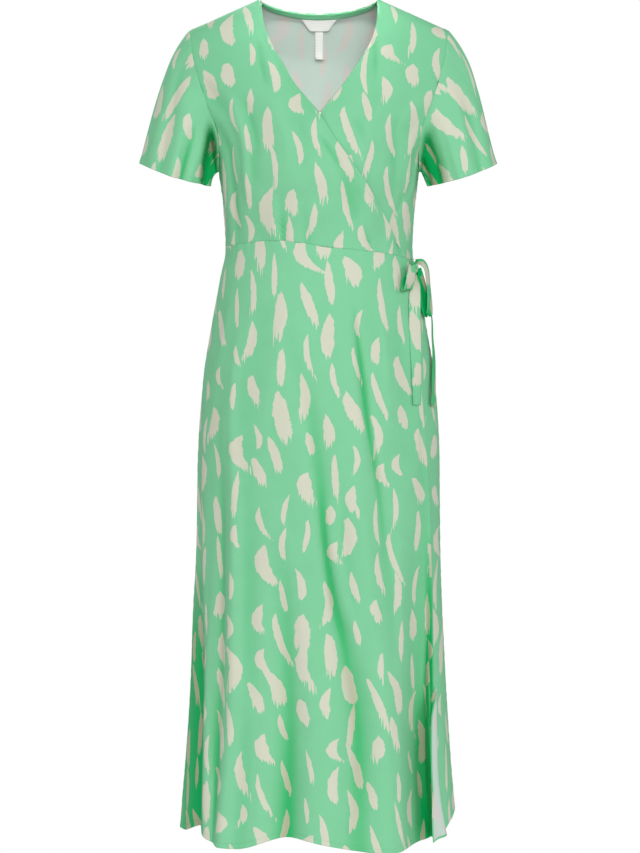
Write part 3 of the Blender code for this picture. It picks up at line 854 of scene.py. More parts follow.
class Wardrobe:
    """The finishes, each made once."""

    def __init__(self) -> None:
        """Make the cloth's two sides, the label satin and the thread."""
        # in each pair the first colour is the cloth's own, the second a darker one painted as shade in folds
        printed = Crepe("printed_viscose_crepe", ("#81CE9E", "#00AF5F"), ("#D0D2BF", "#A9AE8E"))
        pale, pale_dabs = ("#C9D9CF", "#B8CDC0"), ("#D2D0C9", "#C4C2BA")  # the print barely comes through
        wrong_side = Crepe("viscose_crepe_wrong_side", pale, pale_dabs, roughness=0.75, gloss=0.5)
        self.cloth = [printed.material(), wrong_side.material()]
        # the second colour is painted shade in folds
        plain = ("#84D3A2", "#00AF5F")
        self.plain = [Crepe("plain_viscose_crepe", plain, plain, pattern=None).material()]
        self.label = [LabelSatin().material()]
        self.thread = [Thread().material()]


@dataclass
class Panel:
    """A sheet of cloth as a grid of places: rows run down it, columns run with the turn."""

    name: str
    node: str
    grid: Array
    edges: dict[str, Edge]  # by left, right, top and bottom
    print_start: tuple[float, float]
    grain_from: str = "bottom"
    held: str = "hung"
    rests_on: tuple[str, ...] = ()
    slot: str = "printed_crepe"
    single: float = CLOTH
    grain_line: float | None = None  # x of the thread that runs straight down the panel
    with_pieces: tuple[bpy.types.Object, ...] = ()
    painted_fold_shade: Array | float = 0.0  # share of painted shade that it gets from outside, from tucks or from the bow's own cloth

    # small folds and deep ones, for painted shade: reach that counts, least hollow, how much more gets the
    # full painted shade
    SMALL_FOLD = (0.012, -0.0002, 0.0030)
    DEEP_FOLD = (0.045, -0.003, 0.018)
    SMALL_SHARE = 0.75  # the most painted shade that a small fold gives
    LEAST_WIDTH = 0.010
    LEAST_FILL = 0.31  # and the least share of its flat size that shows

    def __post_init__(self) -> None:
        """Measure the sheet before its seams are pulled in."""
        self.normals = grid_normals(self.grid)
        rows, columns = walked(self.grid, 1), walked(self.grid, 0)
        self.from_edge = {
            "left": rows,
            "right": rows[:, -1:] - rows,
            "top": columns,
            "bottom": columns[-1:] - columns,
        }
        self.uv = self.lay_grain(rows, columns) + np.array(self.print_start)
        # painted shade: how much folds shut each place in, carried beside its place on the cloth
        painted_shade = np.maximum(self.painted_shade(), self.painted_fold_shade + np.zeros(self.grid.shape[:2]))
        self.uv = np.concatenate([self.uv, painted_shade[..., None]], axis=-1)
        self.flat = float(rows[:, -1].max()), float(columns[-1].max())
        down, across = np.diff(self.grid, axis=0)[:, 1:], np.diff(self.grid, axis=1)[1:]
        self.area = float(np.linalg.norm(np.cross(down, across), axis=-1).sum())

    def lay_grain(self, rows: Array, columns: Array) -> Array:
        """Measure where each place lies on the flat cloth.

        Args:
            rows: length walked along each row.
            columns: length walked down each column.

        Returns:
            Metres across and up the cloth, from the middle or from the grain line.
        """
        if self.grain_line is None:
            across = rows[-1:] - rows[-1, rows.shape[1] // 2] + 0 * rows
            return np.stack([across, (columns[-1:] if self.grain_from == "bottom" else 0) - columns], axis=-1)
        order = slice(None, None, -1 if self.grid[-1, 0, 0] > self.grid[-1, -1, 0] else 1)
        table = np.concatenate([self.grid, rows[..., None]], axis=-1)[:, order]
        spine = [[np.interp(self.grain_line, row[:, 0], row[:, k]) for k in range(4)] for row in table]
        spine = np.array(spine)
        fall = walked(spine[:, :3], 0)[:, None]
        return np.stack([rows - spine[:, 3:], self.grid[..., 2] - spine[:, 2:3] - fall], axis=-1)

    def hollow(self, reach: float) -> Array:
        """How far each place lies below the cloth on both sides of it.

        Args:
            reach: metres to each side that count.

        Returns:
            Depths in metres, negative on a ridge.
        """
        spacing = walked(self.grid, 1)[:, -1].max() / (self.grid.shape[1] - 1)
        columns = np.arange(self.grid.shape[1])
        total, weight = np.zeros_like(self.grid), np.zeros(len(columns))
        for step in range(-math.ceil(3 * reach / spacing), math.ceil(3 * reach / spacing) + 1):
            spot = columns + step
            share = np.exp(-((step * spacing / reach) ** 2) / 2) * ((spot >= 0) & (spot < len(columns)))
            total += self.grid[:, np.clip(spot, 0, len(columns) - 1)] * share[:, None]
            weight += share
        return np.sum((total / weight[:, None] - self.grid) * self.normals, axis=-1)

    def painted_shade(self) -> Array:
        """Work out the painted shade that folds put on each place, small ones and deep ones.

        Returns:
            Shares from 0 to 1.
        """
        kinds = (self.SMALL_FOLD, self.DEEP_FOLD)
        small, deep = ((self.hollow(reach) - least) / more for reach, least, more in kinds)
        return np.maximum(self.SMALL_SHARE * np.clip(small, 0, 1), ease(deep))

    def pull_seams(self) -> None:
        """Draw the cloth in along each seam, with the small puckers that the stitches leave."""
        for side, kind in self.edges.items():
            away = self.from_edge[side]
            if kind is Edge.SEAM:
                self.grid -= self.normals * (SEAM_DIP * np.exp(-((away / SEAM_REACH) ** 2)))[..., None]
                run = self.uv[..., 1] if side in ("left", "right") else self.uv[..., 0]
                ripple = waves(run, run * 0, len(self.name) + len(side), PUCKER_LENGTH, 5)
                self.grid += self.normals * (PUCKER_HEIGHT * ripple * np.exp(-away / PUCKER_REACH))[..., None]
            elif kind is not Edge.RAW:
                groove = np.exp(-(((away - BAND[kind]) / STITCH_GROOVE_HALF) ** 2))
                self.grid -= self.normals * (STITCH_GROOVE * groove)[..., None]

    def line_inside(self, side: str, depth: float) -> tuple[Array, Array]:
        """Follow one edge at a depth inside it.

        Args:
            side: left, right, top or bottom.
            depth: metres in from the edge.

        Returns:
            Places on the outer face and the normals there.
        """
        lines = (self.from_edge[side], self.grid, self.normals)
        if side in ("left", "right"):
            lines = (line.swapaxes(0, 1) for line in lines)
        away, grid, normals = (line[::-1] if side in ("right", "bottom") else line for line in lines)
        k = np.argmax(away >= depth, axis=0)
        pick = np.arange(away.shape[1])
        step = np.maximum(away[k, pick] - away[k - 1, pick], 1e-9)
        share = ((depth - away[k - 1, pick]) / step)[:, None]
        places = grid[k - 1, pick] * (1 - share) + grid[k, pick] * share
        return places + normals[k, pick] * (DOUBLED / 2), normals[k, pick]

    def thickness(self) -> Array:
        """Measure how thick the cloth is, doubled along hems and turned edges.

        Returns:
            Metres at each place.
        """
        doubled = np.zeros(self.grid.shape[:2])
        for side, kind in self.edges.items():
            if kind in BAND:
                ends = (BAND[kind] + STITCH_BACK - self.from_edge[side]) / STITCH_BACK
                doubled = np.maximum(doubled, ease(ends))
        return self.single + (DOUBLED - self.single) * doubled

    def build(self, finishes: list[bpy.types.Material]) -> None:
        """Make the sheet's mesh, hang it from the body and hide the part that it stands for.

        Args:
            finishes: the right side, and the wrong side where there is one.
        """
        self.pull_seams()
        thick = self.thickness()[..., None]
        sheet = np.concatenate([self.grid, self.uv, thick, thick > self.single + 0.0002], axis=-1)
        for side in SIDES:
            if self.edges[side] is Edge.SEAM:
                sheet = self.with_allowance(sheet, side)
        piece = sheet_object(self.name, sheet, finishes)
        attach(piece, BODY)
        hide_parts(self.node)
        LOG.info("%s: %.0f x %.0f mm flat, %.4f m2", self.name, *(1000 * s for s in self.flat), self.area)

    def with_allowance(self, sheet: Array, side: str) -> Array:
        """Add the seam allowance, which stands inward along the seam.

        Args:
            sheet: the sheet so far, as sheet_object takes it.
            side: the edge that gets the allowance.

        Returns:
            The sheet with its new rows or columns.
        """
        axis = 1 if side in ("left", "right") else 0
        first = side in ("left", "top")
        edge, inner = (0, 1) if first else (-1, -2)
        rim, next_in = sheet.take([edge], axis), sheet.take([inner], axis)
        normal = grid_normals(sheet[..., :3]).take([inner], axis)
        back = unit(next_in[..., :3] - rim[..., :3])
        strips = []
        for depth in ALLOWANCE:
            strip = rim.copy()
            strip[..., :3] += back * ALLOWANCE_STEP - normal * depth
            strip[..., 6:] = self.single, 0
            strips.append(strip)
        parts = strips[::-1] + [sheet] if first else [sheet] + strips
        return np.concatenate(parts, axis=axis)


def grid_normals(grid: Array) -> Array:
    """Normals of a grid whose rows run down and whose columns run with the turn."""
    down, across = np.gradient(grid, axis=0), np.gradient(grid, axis=1)
    return unit(np.cross(down, across))


def sheet_object(name: str, sheet: Array, finishes: list[bpy.types.Material]) -> bpy.types.Object:
    """Make a closed sheet round a grid: an outer face, an inner face and a rounded rim.

    Args:
        name: the piece's name.
        sheet: for each place of its middle x, y and z, its place on the cloth in metres, its share of
        painted fold shade, its thickness, and 1 where the inner face shows the right side too.
        finishes: the right side, and the wrong side where there is one.

    Returns:
        The new object, linked to the scene.
    """
    grid, thick = sheet[..., :3], sheet[..., 6]
    rows, columns = thick.shape
    normals = grid_normals(grid)
    number = np.arange(rows * columns).reshape(rows, columns)
    loop = np.concatenate([number[:-1, 0], number[-1, :-1], number[:0:-1, -1], number[0, :0:-1]])
    outer = (grid + normals * thick[..., None] / 2).reshape(-1, 3)
    inner = (grid - normals * thick[..., None] / 2).reshape(-1, 3)
    within = np.zeros((rows, columns, 3))
    within[:, 0] += unit(grid[:, 0] - grid[:, 1])
    within[:, -1] += unit(grid[:, -1] - grid[:, -2])
    within[0] += unit(grid[0] - grid[1])
    within[-1] += unit(grid[-1] - grid[-2])
    middle = grid.reshape(-1, 3)[loop] + unit(within).reshape(-1, 3)[loop] * thick.reshape(-1)[loop, None] / 2
    a, b, c, d = number[:-1, :-1], number[1:, :-1], number[1:, 1:], number[:-1, 1:]
    face = np.stack([a, b, c, d], axis=-1).reshape(-1, 4)
    total = rows * columns
    after = np.roll(loop, -1)
    rim = 2 * total + np.arange(len(loop))
    rim_after = np.roll(rim, -1)
    faces = np.concatenate(
        [
            face,
            face[:, ::-1] + total,
            np.stack([after, loop, rim, rim_after], axis=-1),
            np.stack([rim_after, rim, loop + total, after + total], axis=-1),
        ]
    )
    mesh = bpy.data.meshes.new(name)
    vertices = np.concatenate([outer, inner, middle])
    mesh.vertices.add(len(vertices))
    mesh.vertices.foreach_set("co", vertices.astype(np.float32).ravel())
    mesh.loops.add(4 * len(faces))
    mesh.loops.foreach_set("vertex_index", faces.astype(np.int32).ravel())
    mesh.polygons.add(len(faces))
    mesh.polygons.foreach_set("loop_start", np.arange(0, 4 * len(faces), 4, dtype=np.int32))
    marks = sheet[..., 3:6].reshape(-1, 3)
    marks = np.concatenate([marks, marks, marks[loop]])
    layer = mesh.uv_layers.new(name=CLOTH_UV)
    layer.uv.foreach_set("vector", marks[faces.ravel(), :2].astype(np.float32).ravel())
    # painted fold shade, which the cloth's material reads
    mesh.attributes.new(PAINTED_SHADE, "FLOAT", "POINT").data.foreach_set("value", marks[:, 2].astype(np.float32))
    if len(finishes) > 1:
        shows = (sheet[:-1, :-1, 7] * sheet[1:, 1:, 7]).ravel() > 0
        side = np.where(shows, Finish.RIGHT_SIDE.value, Finish.WRONG_SIDE.value)
        index = np.zeros(len(faces), np.int32)
        index[len(face) : 2 * len(face)] = side
        mesh.polygons.foreach_set("material_index", index)
    for finish in finishes:
        mesh.materials.append(finish)
    mesh.update(calc_edges=True)
    mesh.validate()
    mesh.shade_smooth()
    return put_in_scene(name, mesh)


def spaced(length: float, step: float, fine_start: bool, fine_end: bool) -> Array:
    """Shares of a length, closer together next to its edges.

    Args:
        length: about how long it is in metres.
        step: usual distance between places.
        fine_start: whether the places crowd at the start.
        fine_end: whether they crowd at the end.

    Returns:
        Shares from 0 to 1.
    """
    near = np.array(EDGE_PLACES) / length
    start = near if fine_start else near[:1]
    end = 1 - near[::-1] if fine_end else np.ones(1)
    count = max(2, round((end[0] - start[-1]) * length / step))
    return np.concatenate([start[:-1], np.linspace(start[-1], end[0], count + 1), end[1:]])


@dataclass
class Bodice:
    """Two crossed fronts and a back, joined at the shoulders, the sides and the waist."""

    form: DressForm
    over_lift: float = 0.0015
    under_sink: float = 0.0027
    step: float = 0.0036
    neck_share: float = 1 / 3  # share of the back's columns that lie within the neck

    # drop, sideways place of the neckline edge of the right front, which lies over
    OVER_EDGE = SmoothTable(
        (0.000, -0.0860), (0.046, -0.0780), (0.070, -0.0680), (0.099, -0.0515), (0.131, -0.0330),
        (0.152, -0.0149), (0.174, 0.0015), (0.212, 0.0267), (0.254, 0.0566), (0.296, 0.0825),
        (0.362, 0.1230),
    )
    # drop, sideways place of the neckline edge of the left front, which lies under
    UNDER_EDGE = SmoothTable(
        (0.000, 0.0860), (0.032, 0.0840), (0.060, 0.0770), (0.087, 0.0630), (0.116, 0.0440),
        (0.139, 0.0264), (0.158, 0.0110), (0.174, -0.0004), (0.362, -0.1100),
    )
    OVER_CREASES = (
        Crease((-25.0, 0.050), (-22.5, 0.140), 0.0040, -0.0022),
        Crease((-21.0, 0.060), (-18.0, 0.150), 0.0080, 0.0015),
        Crease((-54.0, 0.085), (-49.0, 0.175), 0.0130, -0.0050),
        Crease((-41.0, 0.110), (-48.0, 0.330), 0.0090, 0.0042),
        Crease((-60.0, 0.150), (-60.0, 0.370), 0.0120, -0.0035),
        Crease((-35.0, 0.130), (-36.0, 0.250), 0.0060, -0.0018),
        Crease((-6.0, 0.180), (16.0, 0.262), 0.0045, -0.0020),
        Crease((-9.0, 0.170), (4.0, 0.228), 0.0080, 0.0014),
        Crease((8.0, 0.230), (26.0, 0.340), 0.0120, -0.0022),
        Crease((18.0, 0.232), (40.0, 0.345), 0.0110, 0.0022),
        Crease((-22.0, 0.310), (-22.0, 0.376), 0.0046, -0.0022),
        Crease((-27.5, 0.270), (-27.0, 0.370), 0.0070, 0.0024),
        Crease((30.0, 0.335), (33.0, 0.380), 0.0040, -0.0026),
        Crease((55.0, 0.318), (57.0, 0.375), 0.0040, -0.0032),
        Crease((-10.0, 0.270), (-6.0, 0.390), 0.0090, -0.0020),
        Crease((3.0, 0.280), (6.0, 0.390), 0.0080, 0.0015),
    )
    UNDER_CREASES = (
        Crease((21.5, 0.045), (24.0, 0.125), 0.0032, -0.0020),
        Crease((27.0, 0.050), (30.0, 0.150), 0.0120, 0.0022),
        Crease((50.0, 0.085), (60.0, 0.108), 0.0040, -0.0014),
        Crease((40.0, 0.160), (52.0, 0.270), 0.0120, -0.0032),
        Crease((58.0, 0.170), (64.0, 0.320), 0.0100, 0.0022),
        Crease((70.0, 0.262), (48.0, 0.330), 0.0080, -0.0020),
        Crease((14.0, 0.170), (30.0, 0.215), 0.0070, -0.0014),
    )
    BACK_CREASES = (
        Crease((140.0, 0.150), (152.0, 0.300), 0.0150, -0.0040),
        Crease((-142.0, 0.140), (-150.0, 0.290), 0.0140, -0.0036),
        Crease((165.0, 0.240), (168.0, 0.380), 0.0100, 0.0028),
        Crease((-168.0, 0.230), (-165.0, 0.380), 0.0110, 0.0026),
        Crease((178.0, 0.260), (177.0, 0.390), 0.0070, -0.0026),
        Crease((150.0, 0.060), (146.0, 0.170), 0.0100, 0.0020),
        Crease((-155.0, 0.050), (-148.0, 0.150), 0.0090, -0.0020),
        Crease((112.0, 0.262), (128.0, 0.330), 0.0080, -0.0022),
        Crease((-110.0, 0.262), (-124.0, 0.340), 0.0080, -0.0022),
    )

    def drops(self) -> Array:
        """Space out the rows, closest at the shoulder and the underarm.

        Returns:
            Drops of the rows.
        """
        round_armhole = np.linspace(0, math.pi, 61)
        armhole = UNDERARM_DROP * (1 - np.cos(round_armhole)) / 2
        to_waist = WAIST_DROP - UNDERARM_DROP
        side = UNDERARM_DROP + to_waist * spaced(0.112, self.step, False, True)
        return np.concatenate([armhole, side[1:]])

    def lift(self, turn: Array, drop: Array) -> Array:
        """How far the upper front stands off the tube: nothing at its own seams."""
        return self.over_lift * ease((turn + 50) / 40) * ease((drop - 0.10) / 0.05)

    def sink(self, turn: Array, drop: Array) -> Array:
        """How far the lower front lies inside the tube: nothing at its own seams.

        Args:
            turn: degrees round the tube.
            drop: metres down it.

        Returns:
            Metres, negative inside the tube.
        """
        below_arm = ease((drop - 0.235) / 0.065)
        seam_side, flat_side = 50 + 40 * below_arm, 10 + 60 * below_arm
        off_seam = ease((seam_side - turn) / (seam_side - flat_side))
        return -self.under_sink * off_seam * ease((drop - 0.10) / 0.05)

    def front(
        self,
        side: int,
        edge: SmoothTable,
        lift: Callable[[Array, Array], Array],
        creases: Sequence[Crease],
        seed: int,
    ) -> Array:
        """Lay out one front.

        Args:
            side: 1 for the wearer's left, -1 for the right.
            edge: sideways places of its neckline edge.
            lift: how far it lies off the tube.
            creases: its own creases.
            seed: number that fixes its undulation.

        Returns:
            The panel's grid.
        """
        drop = self.drops()[:, None]
        outer = side * self.form.armhole_turn(drop)
        inner = self.form.turn_at(edge.read(drop), drop)
        left, right = (inner, outer) if side > 0 else (outer, inner)
        turn = left + (right - left) * spaced(0.24, self.step, True, True)[None, :]
        drop = self.form.settle_to_waist(turn, drop + 0 * turn)
        out = lift(turn, drop) + sum(crease.height(turn, drop) for crease in creases)
        calm = ease((drop - 0.03) / 0.08)
        out = out + CRINKLE * calm * crinkles(turn * DEGREE_ACROSS, drop, seed, CRINKLE_SIZE)
        return self.form.point(turn, drop, out)

    def back(self) -> Array:
        """Lay out the back: armholes at both sides and a scooped neck between the shoulders.

        Returns:
            The panel's grid.
        """
        shares = spaced(0.42, self.step, True, True)
        across = 2 * shares[None, :] - 1
        neck = self.neck_share
        drop = self.drops()[:, None]
        half_width = self.form.ring(drop)[0]
        neck_turn = np.degrees(np.arcsin(NECK_HALF / half_width))
        outer_turn = self.form.armhole_turn(drop)
        past_neck = np.maximum(0.0, np.abs(across) - neck) / (1 - neck)
        from_centre = neck_turn * np.minimum(1.0, np.abs(across) / neck)
        from_centre = from_centre + (outer_turn - neck_turn) * past_neck
        x = half_width * np.sin(np.radians(from_centre))
        scoop = BACK_NECK_DROP * np.maximum(0.0, 1 - (x / NECK_HALF) ** 2) ** 0.75
        drop = drop + scoop * (1 - drop / WAIST_DROP) ** 2
        turn = 180 + np.copysign(from_centre, across)
        drop = self.form.settle_to_waist(turn, drop)
        spot = wrapped(turn)
        out = sum(crease.height(spot, drop) for crease in self.BACK_CREASES)
        calm = ease((drop - 0.05) / 0.08)
        out = out + CRINKLE * calm * crinkles(turn * DEGREE_ACROSS, drop, 31, CRINKLE_SIZE)
        return self.form.point(turn, drop, out)

    def build(self, wardrobe: Wardrobe) -> dict[str, Panel]:
        """Make the three panels.

        Args:
            wardrobe: the finishes.

        Returns:
            The panels by node.
        """
        seams = dict.fromkeys(SIDES, Edge.SEAM)
        over = self.front(-1, self.OVER_EDGE, self.lift, self.OVER_CREASES, 11)
        under = self.front(1, self.UNDER_EDGE, self.sink, self.UNDER_CREASES, 12)
        laid = (
            ("right_front", "front_over", over, {"right": Edge.TURNED}, (0.113, 0.402), -0.105),
            ("left_front", "front_under", under, {"left": Edge.TURNED}, (1.731, 0.217), 0.105),
            ("back", "back", self.back(), {"top": Edge.TURNED}, (3.351, 0.131), 0.0),
        )
        panels = {}
        for name, place, grid, edges, print_start, grain_line in laid:
            panel = Panel(
                f"{name}_bodice_cloth",
                f"bodice_{place}",
                grid,
                seams | edges,
                print_start,
                grain_line=grain_line,
            )
            panel.build(wardrobe.cloth)
            panels[panel.node] = panel
        return panels


@dataclass
class Sleeve:
    """A short flared sleeve set into its armhole, with one seam under the arm."""

    form: DressForm
    side: int
    tilt: float = 17.8  # how far it leans out from upright, degrees
    hem_centre: tuple[float, float, float] = (0.2095, -0.006, -0.2545)
    hem_half: tuple[float, float] = (0.0532, 0.0585)
    hem_bow: float = 0.005
    step: float = 0.0026

    # by side: degrees round at the armhole and at the hem, half width in degrees, depth at the hem
    FOLDS = {
        -1: (
            (60, 66, 12, 0.0030),
            (84, 88, 9, -0.0040),
            (99, 103, 7, 0.0050),
            (114, 118, 7, -0.0030),
            (238, 232, 16, 0.0070),
            (275, 268, 12, -0.0030),
        ),
        1: (
            (58, 64, 12, 0.0030),
            (76, 80, 10, -0.0030),
            (96, 99, 6, -0.0030),
            (236, 230, 16, 0.0070),
            (270, 276, 12, -0.0030),
        ),
    }
    # by side: degrees round where the cloth under the arm folds back, at the armhole and at the hem
    TUCK_EDGE = {-1: (105, 138), 1: (108, 120)}
    # by side: degrees past that fold, share of the way back to the middle of the sleeve
    TUCK = {
        -1: SmoothTable((-3, 0), (0, 0.08), (8, 0.85), (20, 0.96), (90, 0.96)),
        1: SmoothTable((-4, 0), (3, 0.15), (12, 0.50), (28, 0.55), (38, 0.92), (90, 0.95)),
    }
    back_lift: float = 0.006  # how much higher the hem is at the back
    clear: float = 0.0035  # space between the cloth that is folded back and the cloth behind it
    shoulder_round: float = 0.05  # radians from the top over which its cloth faces straight up
    leaving: float = 0.9  # how strongly it leaves the armhole in the bodice's own direction
    around_size: float = 0.055  # metres for a radian round it, for its small creases
    down_size: float = 0.17  # and metres from the armhole to the hem
    behind: tuple[float, float] = (240, 30)  # degrees round to which the back cloth gets painted shade, and how gently

    def grid(self) -> tuple[Array, Array]:
        """Lay the sleeve out from its armhole to its hem, starting and ending under the arm.

        Returns:
            Its places and the share of painted shade that the tuck under the arm puts on them.
        """
        shares = spaced(0.38, self.step, True, True)
        angle = (2 * shares - 1) * math.pi
        drop = UNDERARM_DROP * (1 - np.cos(angle)) / 2
        turn = self.side * self.form.armhole_turn(drop)
        turn = np.where(angle < 0, 180 - turn, turn)
        places, normals = self.form.place(turn, drop), self.form.normal(turn, drop)
        top = np.exp(-((angle / self.shoulder_round) ** 2))
        normals[:, 1] *= 1 - top
        normals = unit(normals)
        edge = np.gradient(places, axis=0)
        lean = math.radians(self.tilt)
        outward = np.array([self.side * math.cos(lean), 0, math.sin(lean)])
        down = np.array([self.side * math.sin(lean), 0, -math.cos(lean)])
        centre = np.array([self.side * self.hem_centre[0], *self.hem_centre[1:]])
        away = unit(self.side * np.cross(normals, edge))
        under = ((1 - np.cos(angle)) / 2)[:, None]
        leave = unit(away + down + normals * under)
        front = np.stack([0 * angle, -np.sin(angle), 0 * angle], axis=-1)
        end = centre + outward * (self.hem_half[0] * np.cos(angle))[:, None] + front * self.hem_half[1]
        lower = self.hem_bow * np.sin(angle) ** 2 - self.back_lift * ease(-6 * np.sin(angle))
        end = end + down * lower[:, None]
        length = np.linalg.norm(end - places, axis=-1)[:, None]
        s = spaced(0.20, self.step, True, True)[:, None, None]
        point = places * ((1 + 2 * s) * (1 - s) ** 2) + end * (s * s * (3 - 2 * s))
        point = point + leave * (self.leaving * length * s * (1 - s) ** 2) - down * (length * s * s * (1 - s))
        s = s[..., 0]
        inward = unit(centre - end)
        around = np.degrees(angle) % 360
        for start_round, hem_round, half_width, depth in self.FOLDS[self.side]:
            off = (around - (start_round + (hem_round - start_round) * s)) / half_width
            point = point + inward * (depth * ease(s * 1.25) * np.exp(-off * off))[..., None]
        first, last = self.TUCK_EDGE[self.side]
        past = around - (first + (last - first) * s)
        share = self.TUCK[self.side].read(past) * ease(s / 0.25) * ease((180 - around) / 9)
        in_front = point[..., 1] < 0
        point[..., 1] *= 1 - share * in_front
        point[..., 1] -= self.clear * ease(2 * share) * in_front
        crinkled = crinkles(angle[None, :] * self.around_size, s * self.down_size, 51 + self.side, 0.075)
        point = point + inward * (CRINKLE * ease(s * 3) * crinkled)[..., None]
        # painted shade under the arm: beside the tuck, and on the back cloth that shows past it
        last_behind, gently = self.behind
        behind = ease((last_behind - around) / gently) * (around > 180) * ease(s / 0.2)
        painted_shade = np.maximum(ease(2.4 * share), behind)
        order = slice(None, None, -1 if self.side > 0 else 1)
        return point[:, order], painted_shade[:, order]

    def build(self, wardrobe: Wardrobe) -> Panel:
        """Make the sleeve.

        Args:
            wardrobe: the finishes.

        Returns:
            Its panel.
        """
        word = "left" if self.side > 0 else "right"
        grid, painted_shade = self.grid()
        # under the arm both allowances are pressed to the back, where the front is folded flat
        back_edge, front_edge = (Edge.RAW, Edge.SEAM) if self.side > 0 else (Edge.SEAM, Edge.RAW)
        panel = Panel(
            f"{word}_sleeve_cloth",
            f"sleeve_{word}",
            grid,
            {"left": back_edge, "right": front_edge, "top": Edge.SEAM, "bottom": Edge.HEM},
            (5.113 + 0.9 * self.side, 0.271),
            rests_on=("bodice_back", f"bodice_front_{'under' if self.side > 0 else 'over'}"),
            painted_fold_shade=painted_shade,
        )
        panel.build(wardrobe.cloth)
        return panel


@dataclass
class Skirt:
    """The back skirt and the two fronts that wrap over each other."""

    form: DressForm
    bodice: Bodice
    under_end: float = -54.0  # turn of the hidden end of the lower front
    over_end: float = 76.0  # turn up to which the upper front's columns are shared out evenly
    roll_radius: float = 0.0022
    roll_share: float = 0.06  # share of the upper front's columns that its free edge gets
    edge_stand: float = 0.003  # how far that edge stands off the cloth below it
    flap_rise: float = 0.14  # slope at which what is turned back rises from the cloth
    step: float = 0.0044
    row_step: float = 0.0062
    grain: float = 0.003  # metres for a degree of turn, for its small creases
    stretch: float = 0.42  # how much its small creases are drawn out down the skirt

    # drop, turn of the free edge of the upper front skirt
    FREE_EDGE = SmoothTable(
        (0.362, 64.7), (0.385, 72.0), (0.480, 69.0), (0.522, 63.7), (0.585, 60.2), (0.667, 61.2),
        (0.757, 63.0), (0.905, 62.6), (1.030, 59.8), (1.126, 58.0), (1.220, 61.0),
    )

    # drop, how much of the free edge is turned back on itself
    ROLL = SmoothTable(
        (0.990, 0), (1.012, 0.004), (1.040, 0.009), (1.140, 0.011), (1.185, 0.020), (1.230, 0.027)
    )

    def rows(self) -> Array:
        """Shares of the way from the waist to the hem."""
        return spaced(0.85, self.row_step, True, True)[:, None]

    def settled(self, turn: Array, share: Array) -> Array:
        """Drop of a place at a share of the way down, between the waist seam and the hem."""
        waist = self.form.WAIST_LINE.read(wrapped(turn))
        return waist + (self.form.HEM_LINE.read(wrapped(turn)) - waist) * share

    def creased(self, turn: Array, drop: Array, seed: int) -> Array:
        """Small creases of hung crepe, none of them at the waist seam."""
        size = SKIRT_CRINKLE * ease((drop - 0.40) / 0.1)
        return size * crinkles(turn * self.grain, drop * self.stretch, seed, SKIRT_CRINKLE_SIZE)

    def over(self) -> tuple[Array, Array]:
        """Lay out the upper front, whose free edge turns back on itself near the hem.

        Returns:
            The panel's grid and its places' share of painted fold shade.
        """
        share = self.rows()
        nominal = WAIST_DROP + (HEM_DROP - WAIST_DROP) * share
        edge = self.FREE_EDGE.read(nominal)
        degree = self.form.degree(edge, nominal)
        turned = self.ROLL.read(nominal)
        half_turn = math.pi * self.roll_radius
        rolled = (half_turn * np.minimum(1, turned / 0.004) + turned) / degree
        most = 1 - self.roll_share
        plain, rolled_up = spaced(0.56, self.step, True, False) * most, np.linspace(most, 1, 28)[1:]
        columns = self.form.even_shares(-90, self.over_end, np.concatenate([plain, rolled_up])[None, :])
        turn = -90 + columns * (edge + 90 + rolled)
        past = np.maximum(0.0, turn - edge) * degree
        bend = np.minimum(past / self.roll_radius, math.pi)
        flap = np.maximum(0.0, past - half_turn)
        turn = np.minimum(turn, edge) + (self.roll_radius * np.sin(bend) - flap) / degree
        drop = self.settled(turn, share)
        near = ease((turn - edge + 5) / 5) * ease((nominal - 0.46) / 0.1)
        out = self.bodice.lift(turn, drop) + self.roll_radius * (1 - np.cos(bend))
        out = out + self.edge_stand * near + self.flap_rise * flap
        out = out + self.creased(turn, drop, 21) * (bend < 0.1)
        held = 1 - ease(bend)
        return self.form.point(turn, drop, out, held), self.form.painted_shade(turn, drop) * held

    def lower(self) -> tuple[Array, Array]:
        """Lay out the lower front.

        Returns:
            The panel's grid and its places' share of painted fold shade.
        """
        share = self.rows()
        shares = self.form.even_shares(self.under_end, 90, spaced(0.52, self.step, True, True)[None, :])
        turn = self.under_end + (90 - self.under_end) * shares
        drop = self.settled(turn, share)
        out = self.bodice.sink(turn, np.maximum(drop, WAIST_DROP))
        return self.form.point(turn, drop, out), self.form.painted_shade(turn, drop)

    def back(self) -> tuple[Array, Array]:
        """Lay out the back.

        Returns:
            The panel's grid and its places' share of painted fold shade.
        """
        share = self.rows()
        turn = 90 + 180 * self.form.even_shares(90, 270, spaced(0.60, self.step, True, True)[None, :])
        drop = self.settled(turn, share)
        return self.form.point(turn, drop, self.creased(turn, drop, 22)), self.form.painted_shade(turn, drop)

    def build(self, wardrobe: Wardrobe) -> dict[str, Panel]:
        """Make the three panels.

        Args:
            wardrobe: the finishes.

        Returns:
            The panels by node.
        """
        seams = dict.fromkeys(SIDES, Edge.SEAM) | {"bottom": Edge.HEM}
        laid = (
            ("right_front", "front_over", self.over(), {"right": Edge.ROLLED}, (7.013, 0.077)),
            ("left_front", "front_under", self.lower(), {"left": Edge.TURNED}, (9.221, 0.153)),
            ("back", "back", self.back(), {}, (11.417, 0.119)),
        )
        panels = {}
        for name, place, (grid, painted_shade), edges, print_start in laid:
            panel = Panel(
                f"{name}_skirt_cloth",
                f"skirt_{place}",
                grid,
                seams | edges,
                print_start,
                grain_line=0.0,
                rests_on=(f"bodice_{place}",),
                painted_fold_shade=painted_shade,
            )
            panel.build(wardrobe.cloth)
            panels[panel.node] = panel
        return panels


